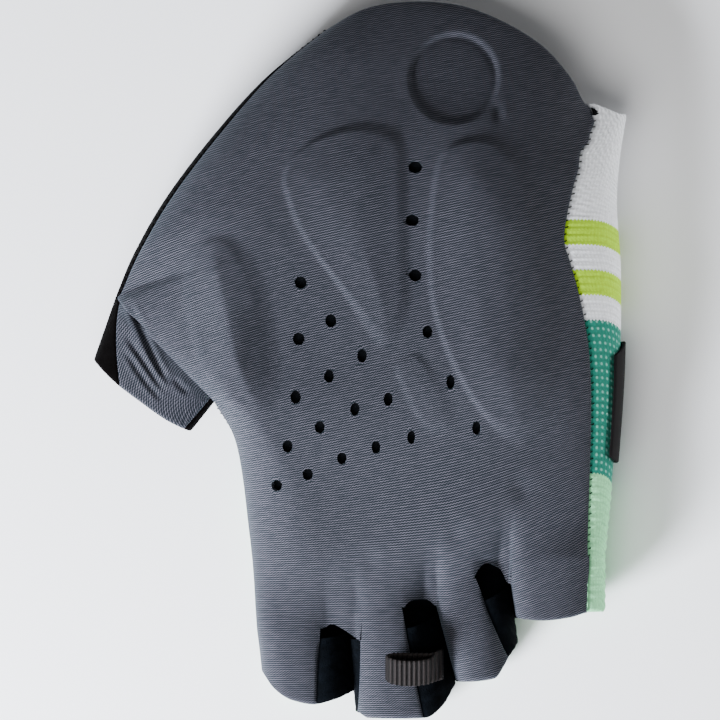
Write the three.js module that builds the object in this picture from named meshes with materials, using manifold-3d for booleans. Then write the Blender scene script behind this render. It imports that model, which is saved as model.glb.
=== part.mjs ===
// A short-finger cycling glove for the right hand, lying on its back with the palm up.
// Millimetres, +Z up. +Y points to the wrist, -Y to the fingertips, -X to the thumb.
// The origin is on the flat patch under the back of the hand, on the surface it lies on.
import * as THREE from "three";
import { mergeVertices } from "three/addons/utils/BufferGeometryUtils.js";
import Module from "manifold-3d";

const wasm = await Module();
wasm.setup();

// Driving dimensions
const HALF_LENGTH = 90; // wrist tongue to the middle fingertip edge is twice this
const HALF_WIDTH = 67; // thumb corner to little-finger side is twice this
const HAND_THICKNESS = 34; // floor to the crown of the palm
const PALM_FABRIC = 1.3; // bonded palm cloth
const BACK_FABRIC = 1.3; // knitted back
const SIDE_FABRIC = 1.2; // suede strips between the fingers
const LINING_FABRIC = 0.8;
const PAD_THICKNESS = 2.4;
const PAD_RISE = 1.1; // how far a pad lifts the palm cloth
const DISC_RADIUS = 10.5;
const VENT_RADIUS = 1.4; // punched holes in the palm
const VENT_STEP = 8.3; // from vent to vent along a row
const SEAM_GAP = 0.5; // between two sewn panels, where the thread lies
const LAYER_GAP = 0.3; // between cloth, pad and lining
const THREAD_WIDTH = 0.7;
const BACK_EASE = 1.2; // the back eases into its flat patch over this height
const FLEX_GAP = 0.6; // between a finger or thumb stub and the hand
const LOOP_WIDTH = 8; // pull-off ribbon
const LOOP_DOWN = 75.5; // its middle, from the origin towards the fingertips
const LOOP_HEIGHT = 11.7; // how far it would stand off the finger if its fold were not drawn in
const LOOP_RIBBON = 0.9;
const LABEL_LENGTH = 30;
const LABEL_WIDTH = 22; // round the little-finger side, from palm to back
const LABEL_THICKNESS = 0.8;
const ELASTIC_WIDTH = 7;
const ELASTIC_THICKNESS = 0.8;
const WELD = 1e-4; // vertices nearer than this are one
const ARCH_RISE = 1.4; // how far an arch is cut above the line where two fingers part
const OVERRUN = 4; // every cutter passes the cloth by this much

// Outlines, as shares of HALF_WIDTH and HALF_LENGTH
const thumbEdgeShares = [
  [-0.142, 0.911], [-0.362, 0.778], [-0.563, 0.611], [-0.731, 0.444], [-0.847, 0.292], [-0.914, 0.172],
];
const indexEdgeShares = [
  [-0.545, -0.117], [-0.474, -0.211], [-0.437, -0.328], [-0.414, -0.472], [-0.396, -0.611], [-0.384, -0.75],
];
const littleEdgeShares = [
  [1, 0.683], [0.974, 0.556], [0.963, 0.431], [0.978, 0.25], [0.974, -0.028], [0.948, -0.306],
  [0.918, -0.544],
];
const tongueShares = [
  [-0.142, 0.911], [0.019, 0.978], [0.194, 0.997], [0.373, 0.986], [0.541, 0.939],
  [0.69, 0.869], [0.791, 0.783], [0.858, 0.703], [1, 0.683],
];
const cuffShares = [[-0.142, 0.911], [0.149, 0.806], [0.429, 0.736], [0.709, 0.694], [1, 0.683]];
const crotchShares = [[-0.384, -0.75], [-0.06, -0.728], [0.265, -0.658], [0.59, -0.561], [0.918, -0.544]];
const thumbMouthShares = [
  [-0.996, -0.003], [-0.915, -0.062], [-0.822, -0.115], [-0.725, -0.166], [-0.634, -0.2],
];

// Where the thumb leaves the side of the hand, as shares of the run from wrist to crotches
const THUMB_START_SHARE = 0.44;
const THUMB_END_SHARE = 0.62;

// Heights, as shares of HAND_THICKNESS: [share of the run from wrist to crotches, height]
const SIDE_LEVEL_SHARE = 0.38;
const crownShares = [
  [0, 0.25], [0.12, 0.42], [0.25, 0.55], [0.42, 0.61], [0.65, 0.61], [0.82, 0.5], [1, 0.36],
];
const backShares = [[0, 0.29], [0.2, 0.37], [0.36, 0.42], [0.72, 0.42], [0.88, 0.39], [1, 0.34]];
const THUMB_CROWN_SHARE = 0.29;
const THUMB_BACK_SHARE = 0.33;
const THUMB_MOUTH_CROWN_SHARE = 0.26;
const THUMB_MOUTH_BACK_SHARE = 0.27;
const CROTCH_LEVEL_SHARE = 0.12; // half the height of the cloth where two fingers part
const PALM_FULLNESS = 2.4; // 2 makes a round section, and more makes it squarer
const BACK_FULLNESS = 3;

// How far the side of the hand rolls in before it is level, as shares of HALF_WIDTH
const thumbRollShares = [
  [0, 0.42], [0.3, 0.5], [0.44, 0.48], [0.5, 0.4], [0.56, 0.24], [0.62, 0.09], [0.7, 0.14], [0.85, 0.24],
  [1, 0.28],
];
const littleRollShares = [[0, 0.4], [0.3, 0.5], [0.7, 0.42], [1, 0.3]];
const BACK_ROLL_SHARE = 0.22;

// Seams round the hand, as shares of half a turn: 0 is the thumb edge and 1 the little-finger edge.
// Below 0 the palm cloth wraps under the thumb edge.
const palmStartShares = [
  [0, 0.05], [0.2, 0.065], [0.36, 0.05], [0.44, 0], [0.62, 0], [0.72, -0.08], [1, -0.137],
];
const palmEndShares = [
  [0, 0.771], [0.17, 0.784], [0.33, 0.788], [0.5, 0.804], [0.67, 0.83], [0.83, 0.842], [1, 0.848],
];
const thumbSidePanelShares = [[0, 0.36], [0.3, 0.34], [0.5, 0.24], [0.66, 0.1]];
const THUMB_SIDE_PANEL_END_SHARE = 0.66;

// The four fingers: place in the row of crotches, hinge line, mouth corners, mouth edge and seams.
// Mouth shares run from the thumb side to the little-finger side: [share across, y].
const fingerSpecs = [
  {
    name: "index",
    rowShares: [0, 0.255],
    hingeShare: -0.769,
    cornerShares: [-0.366, -0.04],
    mouthShares: [[0, -0.87], [0.15, -0.917], [0.35, -0.944], [0.6, -0.955], [0.8, -0.942], [1, -0.92]],
    faceShares: [-0.18, 0.7],
    backShares: [-0.22, 0.82],
    crownShares: [0.33, 0.3],
  },
  {
    name: "middle",
    rowShares: [0.265, 0.512],
    hingeShare: -0.745,
    cornerShares: [-0.011, 0.347],
    mouthShares: [[0, -0.98], [0.1, -0.993], [0.5, -0.994], [0.72, -0.992], [0.88, -0.96], [1, -0.905]],
    faceShares: [0.06, 0.66],
    backShares: [0.15, 0.84],
    crownShares: [0.34, 0.31],
  },
  {
    name: "ring",
    rowShares: [0.526, 0.708],
    hingeShare: -0.672,
    cornerShares: [0.36, 0.582],
    mouthShares: [[0, -0.895], [0.3, -0.892], [0.65, -0.883], [0.85, -0.84], [1, -0.79]],
    faceShares: [0.06, 0.66],
    backShares: [0.15, 0.84],
    crownShares: [0.31, 0.28],
  },
  {
    name: "little",
    rowShares: [0.721, 1],
    hingeShare: -0.592,
    cornerShares: [0.593, 0.918],
    mouthShares: [[0, -0.718], [0.3, -0.723], [0.6, -0.715], [0.85, -0.7], [1, -0.7]],
    faceShares: [0.05, 0.8],
    backShares: [0.15, 0.8],
    crownShares: [0.34, 0.3],
  },
];
const CROWN_LEAN_SHARE = 0.78; // below 1, a finger's crown leans to its thumb side
const FINGER_BACK_SHARE = 0.32;
const PINCH_START_SHARE = 0.8; // where the palm starts to part into fingers

// Punched vents: the first of each row, the rise from vent to vent, and one curved column
const ventRowShares = [[-0.22, 0.214], [-0.228, 0.058], [-0.239, -0.103], [-0.269, -0.239], [-0.31, -0.347]];
const ventRiseShares = [0, 0.05, 0.057, 0.044, 0.033];
const ventColumnShares = [
  [0.205, 0.533], [0.194, 0.386], [0.205, 0.233], [0.25, 0.078], [0.336, -0.061], [0.433, -0.189],
];

// Pads: outlines as shares of HALF_WIDTH and HALF_LENGTH, each round its centre
const padSpecs = [
  {
    name: "thenar_pad",
    centreShares: [0.02, 0.4],
    outlineShares: [
      [-0.28, 0.5], [-0.23, 0.38], [-0.1, 0.24], [0.082, 0.065], [0.14, 0.16], [0.16, 0.4], [0.13, 0.56],
      [-0.06, 0.63],
    ],
  },
  {
    name: "hypothenar_pad",
    centreShares: [0.48, 0.15],
    outlineShares: [
      [0.28, 0.5], [0.25, 0.25], [0.3, 0.08], [0.42, -0.1], [0.6, -0.2], [0.68, -0.02], [0.7, 0.25],
      [0.6, 0.47], [0.42, 0.55],
    ],
  },
  {
    name: "index_base_pad",
    centreShares: [-0.49, 0.12],
    outlineShares: [
      [-0.6, 0.28], [-0.63, 0.14], [-0.585, 0], [-0.5, -0.09], [-0.38, -0.08], [-0.34, 0.08], [-0.39, 0.23],
      [-0.48, 0.33],
    ],
  },
];
const discCentreShares = [0.36, 0.78];
const PAD_SOFT_SHARE = 0.3; // how much of a pad's reach its edge takes to rise
const DISC_SOFT_SHARE = 0.15;
const DISC_SINK_SHARE = 0.5; // the disc is pressed in by this share of what a pad rises

// Small pieces: where they start, as shares of the run and of half a turn
const ELASTIC_START_SHARE = 0.015;
const elasticTurnShares = [1.16, 1.9];
const LABEL_START_SHARE = 0.62;
const LABEL_TURN_SHARE = 0.885;
const labelCornerShares = [[0, 0.5], [0.1, 1], [0.4, 1], [0.7, 1], [0.94, 1], [1, 0.75]];
const thumbFaceStartShares = [0.04, 0.3]; // across the thumb, at its root and its mouth
const thumbFaceEndShares = [0.97, 0.93];
const loopShares = [0.88, 0.3]; // across the middle finger, from the sewn end to the fold
const loopHoleShares = [0.08, 0.91];
const LOOP_TILT = 0.12; // its end nearer the wrist is raised by this angle
const LOOP_FULLNESS = 5; // how square its fold is

// Grids
const STEP_SHARE = 1e-3; // a small step for finding slopes
const newtonRounds = 20;
const handStations = [
  0, 0.04, 0.09, 0.15, 0.22, 0.29, 0.36, THUMB_START_SHARE, 0.49, 0.53, 0.575, THUMB_END_SHARE,
  THUMB_SIDE_PANEL_END_SHARE, 0.72, 0.79, 0.85, 0.9, 0.94, 0.975, 1,
];
const thumbStationShares = [0.25, 0.5, 0.75, 1];
const valleyShares = [0.35, 0.75]; // extra columns where two fingers part
const archSteps = 8;
const palmColumns = 5; // cells across each finger's share of the palm
const backColumns = 3;
const faceColumns = 8; // cells across a stub's palm face, its back, and the panel beside the knit
const stripColumns = 4; // cells across a narrow strip
const elasticColumns = 16;
const thumbBackColumns = 12;
const layerMarginColumns = 3; // the layers inside the palm stop short of its sides
const layerRows = 17;
const stubRows = 4;
const ventSides = 8;

// Materials
function material(colour, roughness) {
  return new THREE.MeshStandardMaterial({ color: colour, roughness, metalness: 0 });
}
const palmCloth = material("#5d626d", 0.85);
const suede = material("#14161a", 0.95);
const microfibre = material("#1d1a1a", 0.95);
const whiteKnit = material("#dfe2e6", 0.9);
const mintKnit = material("#9fd7a4", 0.9);
const ribbon = material("#2b2829", 0.8);
const rubber = material("#211d1e", 0.5);
const foam = material("#3a3d44", 0.9);
const tricot = material("#22252b", 0.9);
const thread = material("#0d0e10", 0.7);

// Small helpers
const { lerp: mix, clamp, smoothstep } = THREE.MathUtils;
const place = ([x, y]) => new THREE.Vector2(x * HALF_WIDTH, y * HALF_LENGTH);
function steps(count, from = 0, to = 1) {
  return Array.from({ length: count + 1 }, (_, k) => mix(from, to, k / count));
}

// A smooth curve through places, whose parameter steps evenly from place to place
function outline(shares) {
  const curve = new THREE.SplineCurve(shares.map(place));
  return (t) => curve.getPoint(clamp(t, 0, 1));
}

// A smooth function through [station, value] pairs, level where they turn back
function through(pairs) {
  const secants = pairs.slice(1).map(([x, y], k) => (y - pairs[k][1]) / (x - pairs[k][0]));
  const slope = (k) => {
    if (k === 0) return secants[0];
    if (k === secants.length) return secants[k - 1];
    const [before, after] = [secants[k - 1], secants[k]];
    return before * after > 0 ? (2 * before * after) / (before + after) : 0;
  };
  return (station) => {
    const x = clamp(station, pairs[0][0], pairs[pairs.length - 1][0]);
    let k = 0;
    while (k < pairs.length - 2 && x > pairs[k + 1][0]) k += 1;
    const [[x0, y0], [x1, y1]] = [pairs[k], pairs[k + 1]];
    const step = x1 - x0;
    const q = (x - x0) / step;
    const ease = q * q * (3 - 2 * q);
    const leave = q * (1 - q) * (1 - q) * step;
    const arrive = q * q * (q - 1) * step;
    return mix(y0, y1, ease) + slope(k) * leave + slope(k + 1) * arrive;
  };
}

const SIDE_LEVEL = SIDE_LEVEL_SHARE * HAND_THICKNESS;
const thumbEdge = outline(thumbEdgeShares);
const indexEdge = outline(indexEdgeShares);
const littleEdge = outline(littleEdgeShares);
const tongue = outline(tongueShares);
const cuff = outline(cuffShares);
const crotches = outline(crotchShares);
const thumbMouth = outline(thumbMouthShares);
const crown = through(crownShares);
const backDepth = through(backShares);
const thumbRoll = through(thumbRollShares);
const littleRoll = through(littleRollShares);
const palmStart = through(palmStartShares);
const palmEnd = through(palmEndShares);
const thumbSideSeam = through(thumbSidePanelShares);

// Round every section, turn 0 is the thumb edge, 1 the little-finger edge and 2 the thumb edge again.
// Turns below 0 are on the back, and turns past 2 are on the palm.
const acrossOf = (turn) => (1 - Math.cos(Math.PI * turn)) / 2;
const turnOf = (across) => Math.acos(1 - 2 * clamp(across, 0, 1)) / Math.PI;
const signedTurn = (across) => (across < 0 ? -turnOf(-across) : turnOf(across));
const isBack = (turn) => turn < 0 || (turn > 1 && turn <= 2);

// Cross sections: a quarter round at the hand's sides, and the bows of a stub's palm and back
const quarterRound = (x) => Math.sqrt(1 - (1 - clamp(x, 0, 1)) ** 2);
const bow = (offCentre, fullness) => Math.sqrt(Math.max(0, 1 - Math.abs(offCentre) ** fullness));
const palmBow = (across) => bow(2 * across ** CROWN_LEAN_SHARE - 1, PALM_FULLNESS);
const backBow = (across) => bow(2 * across - 1, BACK_FULLNESS);

// The thumb-side edge of the hand: round the wrist, across the thumb's root, down to the index finger
const thumbRoot = [thumbEdge(1), indexEdge(0)];
const rootShare = (t) => clamp((t - THUMB_START_SHARE) / (THUMB_END_SHARE - THUMB_START_SHARE), 0, 1);
function leftEdge(t) {
  if (t <= THUMB_START_SHARE) return thumbEdge(t / THUMB_START_SHARE);
  if (t >= THUMB_END_SHARE) return indexEdge((t - THUMB_END_SHARE) / (1 - THUMB_END_SHARE));
  return thumbRoot[0].clone().lerp(thumbRoot[1], rootShare(t));
}

// A plan place on the hand, filled in between its four edges
function planPlace(s, t, wristEdge) {
  const ends = wristEdge(s).multiplyScalar(1 - t).addScaledVector(crotches(s), t);
  const sides = leftEdge(t).multiplyScalar(1 - s).addScaledVector(littleEdge(t), s);
  const left = wristEdge(0).multiplyScalar(1 - t).addScaledVector(crotches(0), t);
  const right = wristEdge(1).multiplyScalar(1 - t).addScaledVector(crotches(1), t);
  return ends.add(sides).sub(left.lerp(right, s));
}

// The height of the four fingers side by side, on the row of crotches
function crotchRow(s, back) {
  const f = fingerSpecs.find(({ rowShares: [from, to] }) => s >= from && s <= to);
  if (!f) return CROTCH_LEVEL_SHARE * HAND_THICKNESS;
  const [from, to] = f.rowShares;
  const across = (s - from) / (to - from);
  const height = back ? FINGER_BACK_SHARE * backBow(across) : f.crownShares[0] * palmBow(across);
  const outside = (from === 0 && across < 0.5) || (to === 1 && across > 0.5);
  return Math.max(height, outside ? 0 : CROTCH_LEVEL_SHARE) * HAND_THICKNESS;
}

// The distance from a pad's centre to its rim, on the heading of a point
function rimReach(rim, heading) {
  const way = new THREE.Vector2(Math.cos(heading), Math.sin(heading));
  const reaches = rim.map((a, k) => {
    const edge = rim[(k + 1) % rim.length].clone().sub(a);
    const slant = way.cross(edge);
    const along = a.cross(way) / slant;
    return along >= 0 && along <= 1 ? a.cross(edge) / slant : 0;
  });
  return Math.max(...reaches);
}

// How far the pads lift the cloth at a plan place, less what the disc is pressed in
const softStep = (share, soft) => 1 - smoothstep(share, 1 - soft, 1 + soft / 2);
const padRims = padSpecs.map((spec) => {
  const centre = place(spec.centreShares);
  return { centre, rim: spec.outlineShares.map((shares) => place(shares).sub(centre)) };
});
function lift(point) {
  const pads = padRims.map(({ centre, rim }) => {
    const from = point.clone().sub(centre);
    return softStep(from.length() / rimReach(rim, from.angle()), PAD_SOFT_SHARE);
  });
  const disc = softStep(point.distanceTo(place(discCentreShares)) / DISC_RADIUS, DISC_SOFT_SHARE);
  return PAD_RISE * (Math.max(...pads) - disc * DISC_SINK_SHARE);
}

// Below the floor a point is lifted to it, and just above it the surface eases in
function flattened(z) {
  return z > BACK_EASE ? z : Math.max(z + BACK_EASE, 0) ** 2 / (4 * BACK_EASE);
}

// A point of the hand's outer surface, t of the way from the wrist to the crotches
function handPoint(turn, t) {
  const back = isBack(turn);
  const s = acrossOf(turn);
  const plan = planPlace(s, t, back ? cuff : tongue);
  const rowWidth = leftEdge(t).distanceTo(littleEdge(t));
  const tight = Math.sqrt(thumbRoll(t) / thumbRollShares[0][1]);
  const rollIn = (back ? BACK_ROLL_SHARE * tight : thumbRoll(t)) * HALF_WIDTH;
  const rollOut = (back ? BACK_ROLL_SHARE : littleRoll(t)) * HALF_WIDTH;
  const left = quarterRound((s * rowWidth) / rollIn);
  const right = quarterRound(((1 - s) * rowWidth) / rollOut);
  const root = backBow(rootShare(t)) * (back ? THUMB_BACK_SHARE : THUMB_CROWN_SHARE);
  const full = back ? backDepth(t) : crown(t);
  const level = (root * (1 - left) + full * left * right) * HAND_THICKNESS;
  const lifted = back ? level : level + lift(plan) * left * right;
  const height = mix(lifted, crotchRow(s, back), smoothstep(t, PINCH_START_SHARE, 1) ** 2);
  return new THREE.Vector3(plan.x, plan.y, back ? flattened(SIDE_LEVEL - height) : SIDE_LEVEL + height);
}

// The place on a finger stub's mouth edge, a share of the way across it
function fingerEnd(f, across) {
  const shares = [mix(...f.cornerShares, across), through(f.mouthShares)(across)];
  return place(shares);
}

// A point of a finger stub's outer surface, at a distance down the glove from the origin
function fingerPoint(f, turn, down) {
  const back = isBack(turn);
  const across = acrossOf(turn);
  const root = crotches(mix(...f.rowShares, across));
  const end = fingerEnd(f, across);
  const along = (root.y + down) / (root.y - end.y);
  const narrowing = (f.crownShares[0] - f.crownShares[1]) * along;
  const height = back
    ? -backBow(across) * (FINGER_BACK_SHARE - narrowing)
    : palmBow(across) * (f.crownShares[0] - narrowing);
  return new THREE.Vector3(mix(root.x, end.x, along), -down, SIDE_LEVEL + height * HAND_THICKNESS);
}

// A point of the thumb stub's outer surface, b of the way from its root to its mouth
function thumbPoint(turn, b) {
  const back = isBack(turn);
  const across = acrossOf(turn);
  const plan = thumbRoot[0].clone().lerp(thumbRoot[1], across).lerp(thumbMouth(across), b);
  const share = back
    ? -mix(THUMB_BACK_SHARE, THUMB_MOUTH_BACK_SHARE, b)
    : mix(THUMB_CROWN_SHARE, THUMB_MOUTH_CROWN_SHARE, b);
  return new THREE.Vector3(plan.x, plan.y, SIDE_LEVEL + backBow(across) * share * HAND_THICKNESS);
}

// A knot is a point of a surface with its outward normal, found from small steps either way
function knot(surface, turn, v, vStep = STEP_SHARE) {
  const along = surface(turn, v + vStep).sub(surface(turn, v - vStep));
  const round = surface(turn + STEP_SHARE, v).sub(surface(turn - STEP_SHARE, v));
  return { point: surface(turn, v), outward: along.cross(round).normalize() };
}

const layerPoint = (k, depth) => k.point.clone().addScaledVector(k.outward, -depth);
const fingerKnot = (f, turn, down) => (
  knot((u, v) => fingerPoint(f, u, v), turn, down, STEP_SHARE * HALF_LENGTH)
);

// The turn, or the station, that lies a distance further over the hand, either way
function shiftTurn(turn, t, distance) {
  const step = Math.sign(distance) * STEP_SHARE;
  const reach = handPoint(turn, t).distanceTo(handPoint(turn + step, t));
  return turn + (distance * STEP_SHARE) / reach;
}

function shiftStation(turn, t, distance) {
  const reach = handPoint(turn, t).distanceTo(handPoint(turn, t + STEP_SHARE));
  return t + (distance * STEP_SHARE) / reach;
}

// A closed sheet between two depths under a grid of knots. Cells where exists() is false are open.
function sheet(grid, fromDepth, toDepth, exists = () => true) {
  const rows = grid.length;
  const columns = grid[0].length;
  const id = (side, i, j) => (side * rows + i) * columns + j;
  const there = (i, j) => i >= 0 && j >= 0 && i < rows - 1 && j < columns - 1 && exists(i, j);
  const layer = (depth) => grid.flat().flatMap((k) => (k ? layerPoint(k, depth).toArray() : [0, 0, 0]));
  const faces = [];
  const quad = (a, b, c, d) => faces.push(a, b, c, a, c, d);
  const wall = (a, b) => quad(id(0, ...a), id(0, ...b), id(1, ...b), id(1, ...a));
  for (let i = 0; i < rows - 1; i += 1) {
    for (let j = 0; j < columns - 1; j += 1) {
      if (!there(i, j)) continue;
      const [a, b, c, d] = [[i, j], [i + 1, j], [i + 1, j + 1], [i, j + 1]];
      quad(id(0, ...a), id(0, ...b), id(0, ...c), id(0, ...d));
      quad(id(1, ...a), id(1, ...d), id(1, ...c), id(1, ...b));
      if (!there(i, j - 1)) wall(b, a);
      if (!there(i + 1, j)) wall(c, b);
      if (!there(i, j + 1)) wall(d, c);
      if (!there(i - 1, j)) wall(a, d);
    }
  }
  const positions = [...layer(fromDepth), ...layer(toDepth)];
  const geometry = new THREE.BufferGeometry();
  geometry.setAttribute("position", new THREE.Float32BufferAttribute(positions, 3));
  geometry.setIndex(faces);
  return geometry;
}

// A sheet over one surface: rows at the given stations, columns spread from one edge to the other
function panel({ surface, stations, from, to, columns, depths }) {
  const grid = stations.map((v) => steps(columns, from(v), to(v)).map((turn) => knot(surface, turn, v)));
  return sheet(grid, ...depths);
}

// Cuts and joins
function solid(geometry) {
  const plain = geometry.clone();
  plain.deleteAttribute("normal");
  plain.deleteAttribute("uv");
  const merged = mergeVertices(plain, WELD);
  const mesh = new wasm.Mesh({
    numProp: 3,
    vertProperties: merged.attributes.position.array,
    triVerts: new Uint32Array(merged.index.array),
  });
  return new wasm.Manifold(mesh);
}

function toGeometry(body) {
  const mesh = body.getMesh();
  const geometry = new THREE.BufferGeometry();
  geometry.setAttribute("position", new THREE.Float32BufferAttribute(Array.from(mesh.vertProperties), 3));
  geometry.setIndex(Array.from(mesh.triVerts));
  return geometry;
}

function cut(geometry, cutters) {
  return toGeometry(cutters.reduce((body, cutter) => body.subtract(solid(cutter)), solid(geometry)));
}

// Where a plan place lies on the palm, by Newton steps on the hand's own filling
function locate(target) {
  let [s, t] = [0.5, 0.5];
  for (let round = 0; round < newtonRounds; round += 1) {
    const here = planPlace(s, t, tongue);
    const ds = planPlace(s + STEP_SHARE, t, tongue).sub(here).divideScalar(STEP_SHARE);
    const dt = planPlace(s, t + STEP_SHARE, tongue).sub(here).divideScalar(STEP_SHARE);
    const miss = target.clone().sub(here);
    const area = ds.cross(dt);
    s = clamp(s + miss.cross(dt) / area, 0, 1 - STEP_SHARE);
    t = clamp(t + ds.cross(miss) / area, 0, 1 - STEP_SHARE);
  }
  return { turn: turnOf(s), t };
}

const glove = new THREE.Group();
function piece(name, geometry, look) {
  const mesh = new THREE.Mesh(geometry, look);
  mesh.name = name;
  glove.add(mesh);
}

// Each finger with the turns between which its palm face, its back and its side strips lie
const fingerSeam = SEAM_GAP / HAND_THICKNESS;
const fingers = fingerSpecs.map((spec) => {
  const [faceFrom, faceTo] = spec.faceShares.map(signedTurn);
  const faceWraps = faceFrom < 0; // the index finger's palm cloth wraps under its thumb side
  const knitWraps = spec.rowShares[1] === 1; // the little finger's knit wraps up its outer side
  const backFrom = knitWraps ? faceTo + fingerSeam : 2 - turnOf(spec.backShares[1]);
  const backTo = faceWraps ? 2 + faceFrom - fingerSeam : 2 - turnOf(spec.backShares[0]);
  return {
    ...spec,
    face: [faceFrom, faceTo],
    back: [backFrom, backTo],
    outerStrip: knitWraps ? null : [faceTo + fingerSeam, backFrom - fingerSeam],
    innerStrip: faceWraps ? null : [backTo - 2 + fingerSeam, faceFrom - fingerSeam],
    handEnd: -spec.hingeShare * HALF_LENGTH - FLEX_GAP / 2,
    stubStart: -spec.hingeShare * HALF_LENGTH + FLEX_GAP / 2,
  };
});
const fingerPairs = fingers.slice(1).map((next, n) => [fingers[n], next]);

// The turn round the hand, on the row of crotches, that meets a turn round one finger
function handTurn(f, own) {
  const turn = turnOf(mix(...f.rowShares, acrossOf(own)));
  if (own < 0) return -turn;
  return own > 1 ? 2 - turn : turn;
}

// The knots of a hand panel that runs on into four finger roots, as far as the hinge lines.
// Its columns spread from one edge to the other, and meet each finger's own seams.
function handGrid({ from, to, ranges, columnsEach }) {
  const columns = [];
  for (const { f, turns } of ranges) {
    const [first, last] = turns.map((own) => handTurn(f, own));
    if (columns.length > 0) {
      const before = columns[columns.length - 1].turn;
      for (const share of valleyShares) columns.push({ turn: mix(before, first, share) });
    }
    for (const own of steps(columnsEach, ...turns)) {
      columns.push({ f, own, turn: clamp(handTurn(f, own), first, last) });
    }
  }
  const first = columns[0].turn;
  const span = columns[columns.length - 1].turn - first;
  const turnAt = (column, t) => mix(from(t), to(t), (column.turn - first) / span);
  const grid = handStations.map((t) => columns.map((column) => knot(handPoint, turnAt(column, t), t)));
  grid.push(columns.map(({ f, own }) => (f ? fingerKnot(f, own, f.handEnd) : null)));
  return grid;
}

// In the last row only the finger roots have cloth
function handSheet(grid, thickness) {
  const roots = grid[grid.length - 1];
  return sheet(grid, 0, thickness, (i, j) => i < handStations.length - 1 || (roots[j] && roots[j + 1]));
}

// The arch between two fingers: a strip from the palm's edge to the back's edge, bent round the crotch.
// along is 0 on the finger nearer the thumb and 1 on the other; width is 0 at the palm, 1 at the back.
function archPoint([a, b], along, width) {
  const legA = fingerPoint(a, mix(a.face[1], a.back[0], width), a.handEnd - SEAM_GAP);
  const legB = fingerPoint(b, mix(b.face[0], b.back[1] - 2, width), b.handEnd - SEAM_GAP);
  const crotch = crotches((a.rowShares[1] + b.rowShares[0]) / 2);
  const half = CROTCH_LEVEL_SHARE * HAND_THICKNESS;
  const top = new THREE.Vector3(crotch.x, crotch.y + ARCH_RISE, SIDE_LEVEL + mix(half, -half, width));
  const middle = legA.clone().lerp(legB, 0.5);
  return legA.lerp(legB, acrossOf(along)).addScaledVector(top.sub(middle), Math.sin(Math.PI * along));
}

// A cutter that opens the palm, or the back, between two fingers
function archCutter(pair, width) {
  const rim = steps(archSteps).map((along) => archPoint(pair, along, width));
  const reach = Math.min(rim[0].y, rim[archSteps].y) - OVERRUN;
  const shape = new THREE.Shape(rim.map(({ x, y }) => new THREE.Vector2(x, y)));
  shape.lineTo(rim[archSteps].x, reach);
  shape.lineTo(rim[0].x, reach);
  const cutter = new THREE.ExtrudeGeometry(shape, { depth: HAND_THICKNESS, bevelEnabled: false });
  cutter.translate(0, 0, SIDE_LEVEL - width * HAND_THICKNESS);
  return cutter;
}

// Palm cloth, with an upright punch for each vent
function ventPunch(target) {
  const { turn, t } = locate(target);
  const { x, y, z } = handPoint(turn, t);
  const punch = new THREE.CylinderGeometry(VENT_RADIUS, VENT_RADIUS, 2 * (PALM_FABRIC + OVERRUN), ventSides);
  punch.rotateX(Math.PI / 2);
  punch.translate(x, y, z);
  return punch;
}

function ventRow(firstShares, row) {
  const first = place(firstShares);
  const step = new THREE.Vector2(VENT_STEP, ventRiseShares[row] * HALF_LENGTH);
  return Array.from({ length: row + 1 }, (_, k) => first.clone().addScaledVector(step, k));
}

const palmGrid = handGrid({
  from: (t) => shiftTurn(palmStart(t), t, SEAM_GAP / 2),
  to: palmEnd,
  ranges: fingers.map((f) => ({ f, turns: f.face })),
  columnsEach: palmColumns,
});
const vents = [...ventRowShares.flatMap(ventRow), ...ventColumnShares.map(place)].map(ventPunch);
const palmArches = fingerPairs.map((pair) => archCutter(pair, 0));
piece("palm_panel", cut(handSheet(palmGrid, PALM_FABRIC), [...vents, ...palmArches]), palmCloth);

// Knitted back, and the plain panel on its thumb side
const underPalm = (t) => shiftTurn(2 + palmStart(t), t, -SEAM_GAP / 2);
const thumbSideFrom = (t) => 2 - thumbSideSeam(t);
function knitTo(t) {
  const beside = shiftTurn(thumbSideFrom(t), t, -SEAM_GAP);
  return mix(beside, underPalm(t), smoothstep(t, THUMB_SIDE_PANEL_END_SHARE, PINCH_START_SHARE));
}

const knitGrid = handGrid({
  from: (t) => shiftTurn(palmEnd(t), t, SEAM_GAP),
  to: knitTo,
  ranges: [...fingers].reverse().map((f) => ({ f, turns: f.back })),
  columnsEach: backColumns,
});
const knitArches = fingerPairs.map((pair) => archCutter(pair, 1));
piece("back_knit", cut(handSheet(knitGrid, BACK_FABRIC), knitArches), whiteKnit);

const panelEnd = THUMB_SIDE_PANEL_END_SHARE - SEAM_GAP / HALF_LENGTH;
const thumbSidePanel = panel({
  surface: handPoint,
  stations: [...handStations.filter((t) => t < panelEnd), panelEnd],
  from: thumbSideFrom,
  to: underPalm,
  columns: faceColumns,
  depths: [0, BACK_FABRIC],
});
piece("thumb_side_panel", thumbSidePanel, microfibre);

// Inside the palm: pads under the palm cloth, and a lining under the pads.
// They share the palm's knots, so the gaps between the layers hold everywhere.
function underPalmLayer(fromDepth, thickness) {
  const lastColumn = palmGrid[0].length - 1 - layerMarginColumns;
  const inside = (i, j) => i > 0 && j >= layerMarginColumns && j < lastColumn;
  return sheet(palmGrid.slice(0, layerRows), fromDepth, fromDepth + thickness, inside);
}

const padDepth = PALM_FABRIC + LAYER_GAP;
piece("palm_lining", underPalmLayer(padDepth + PAD_THICKNESS + LAYER_GAP, LINING_FABRIC), tricot);

function padUnder(shape) {
  const depth = HAND_THICKNESS + 2 * OVERRUN;
  const prism = new THREE.ExtrudeGeometry(shape, { depth, bevelEnabled: false, curveSegments: 3 });
  prism.translate(0, 0, -OVERRUN);
  return toGeometry(solid(underPalmLayer(padDepth, PAD_THICKNESS)).intersect(solid(prism)));
}

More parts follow.
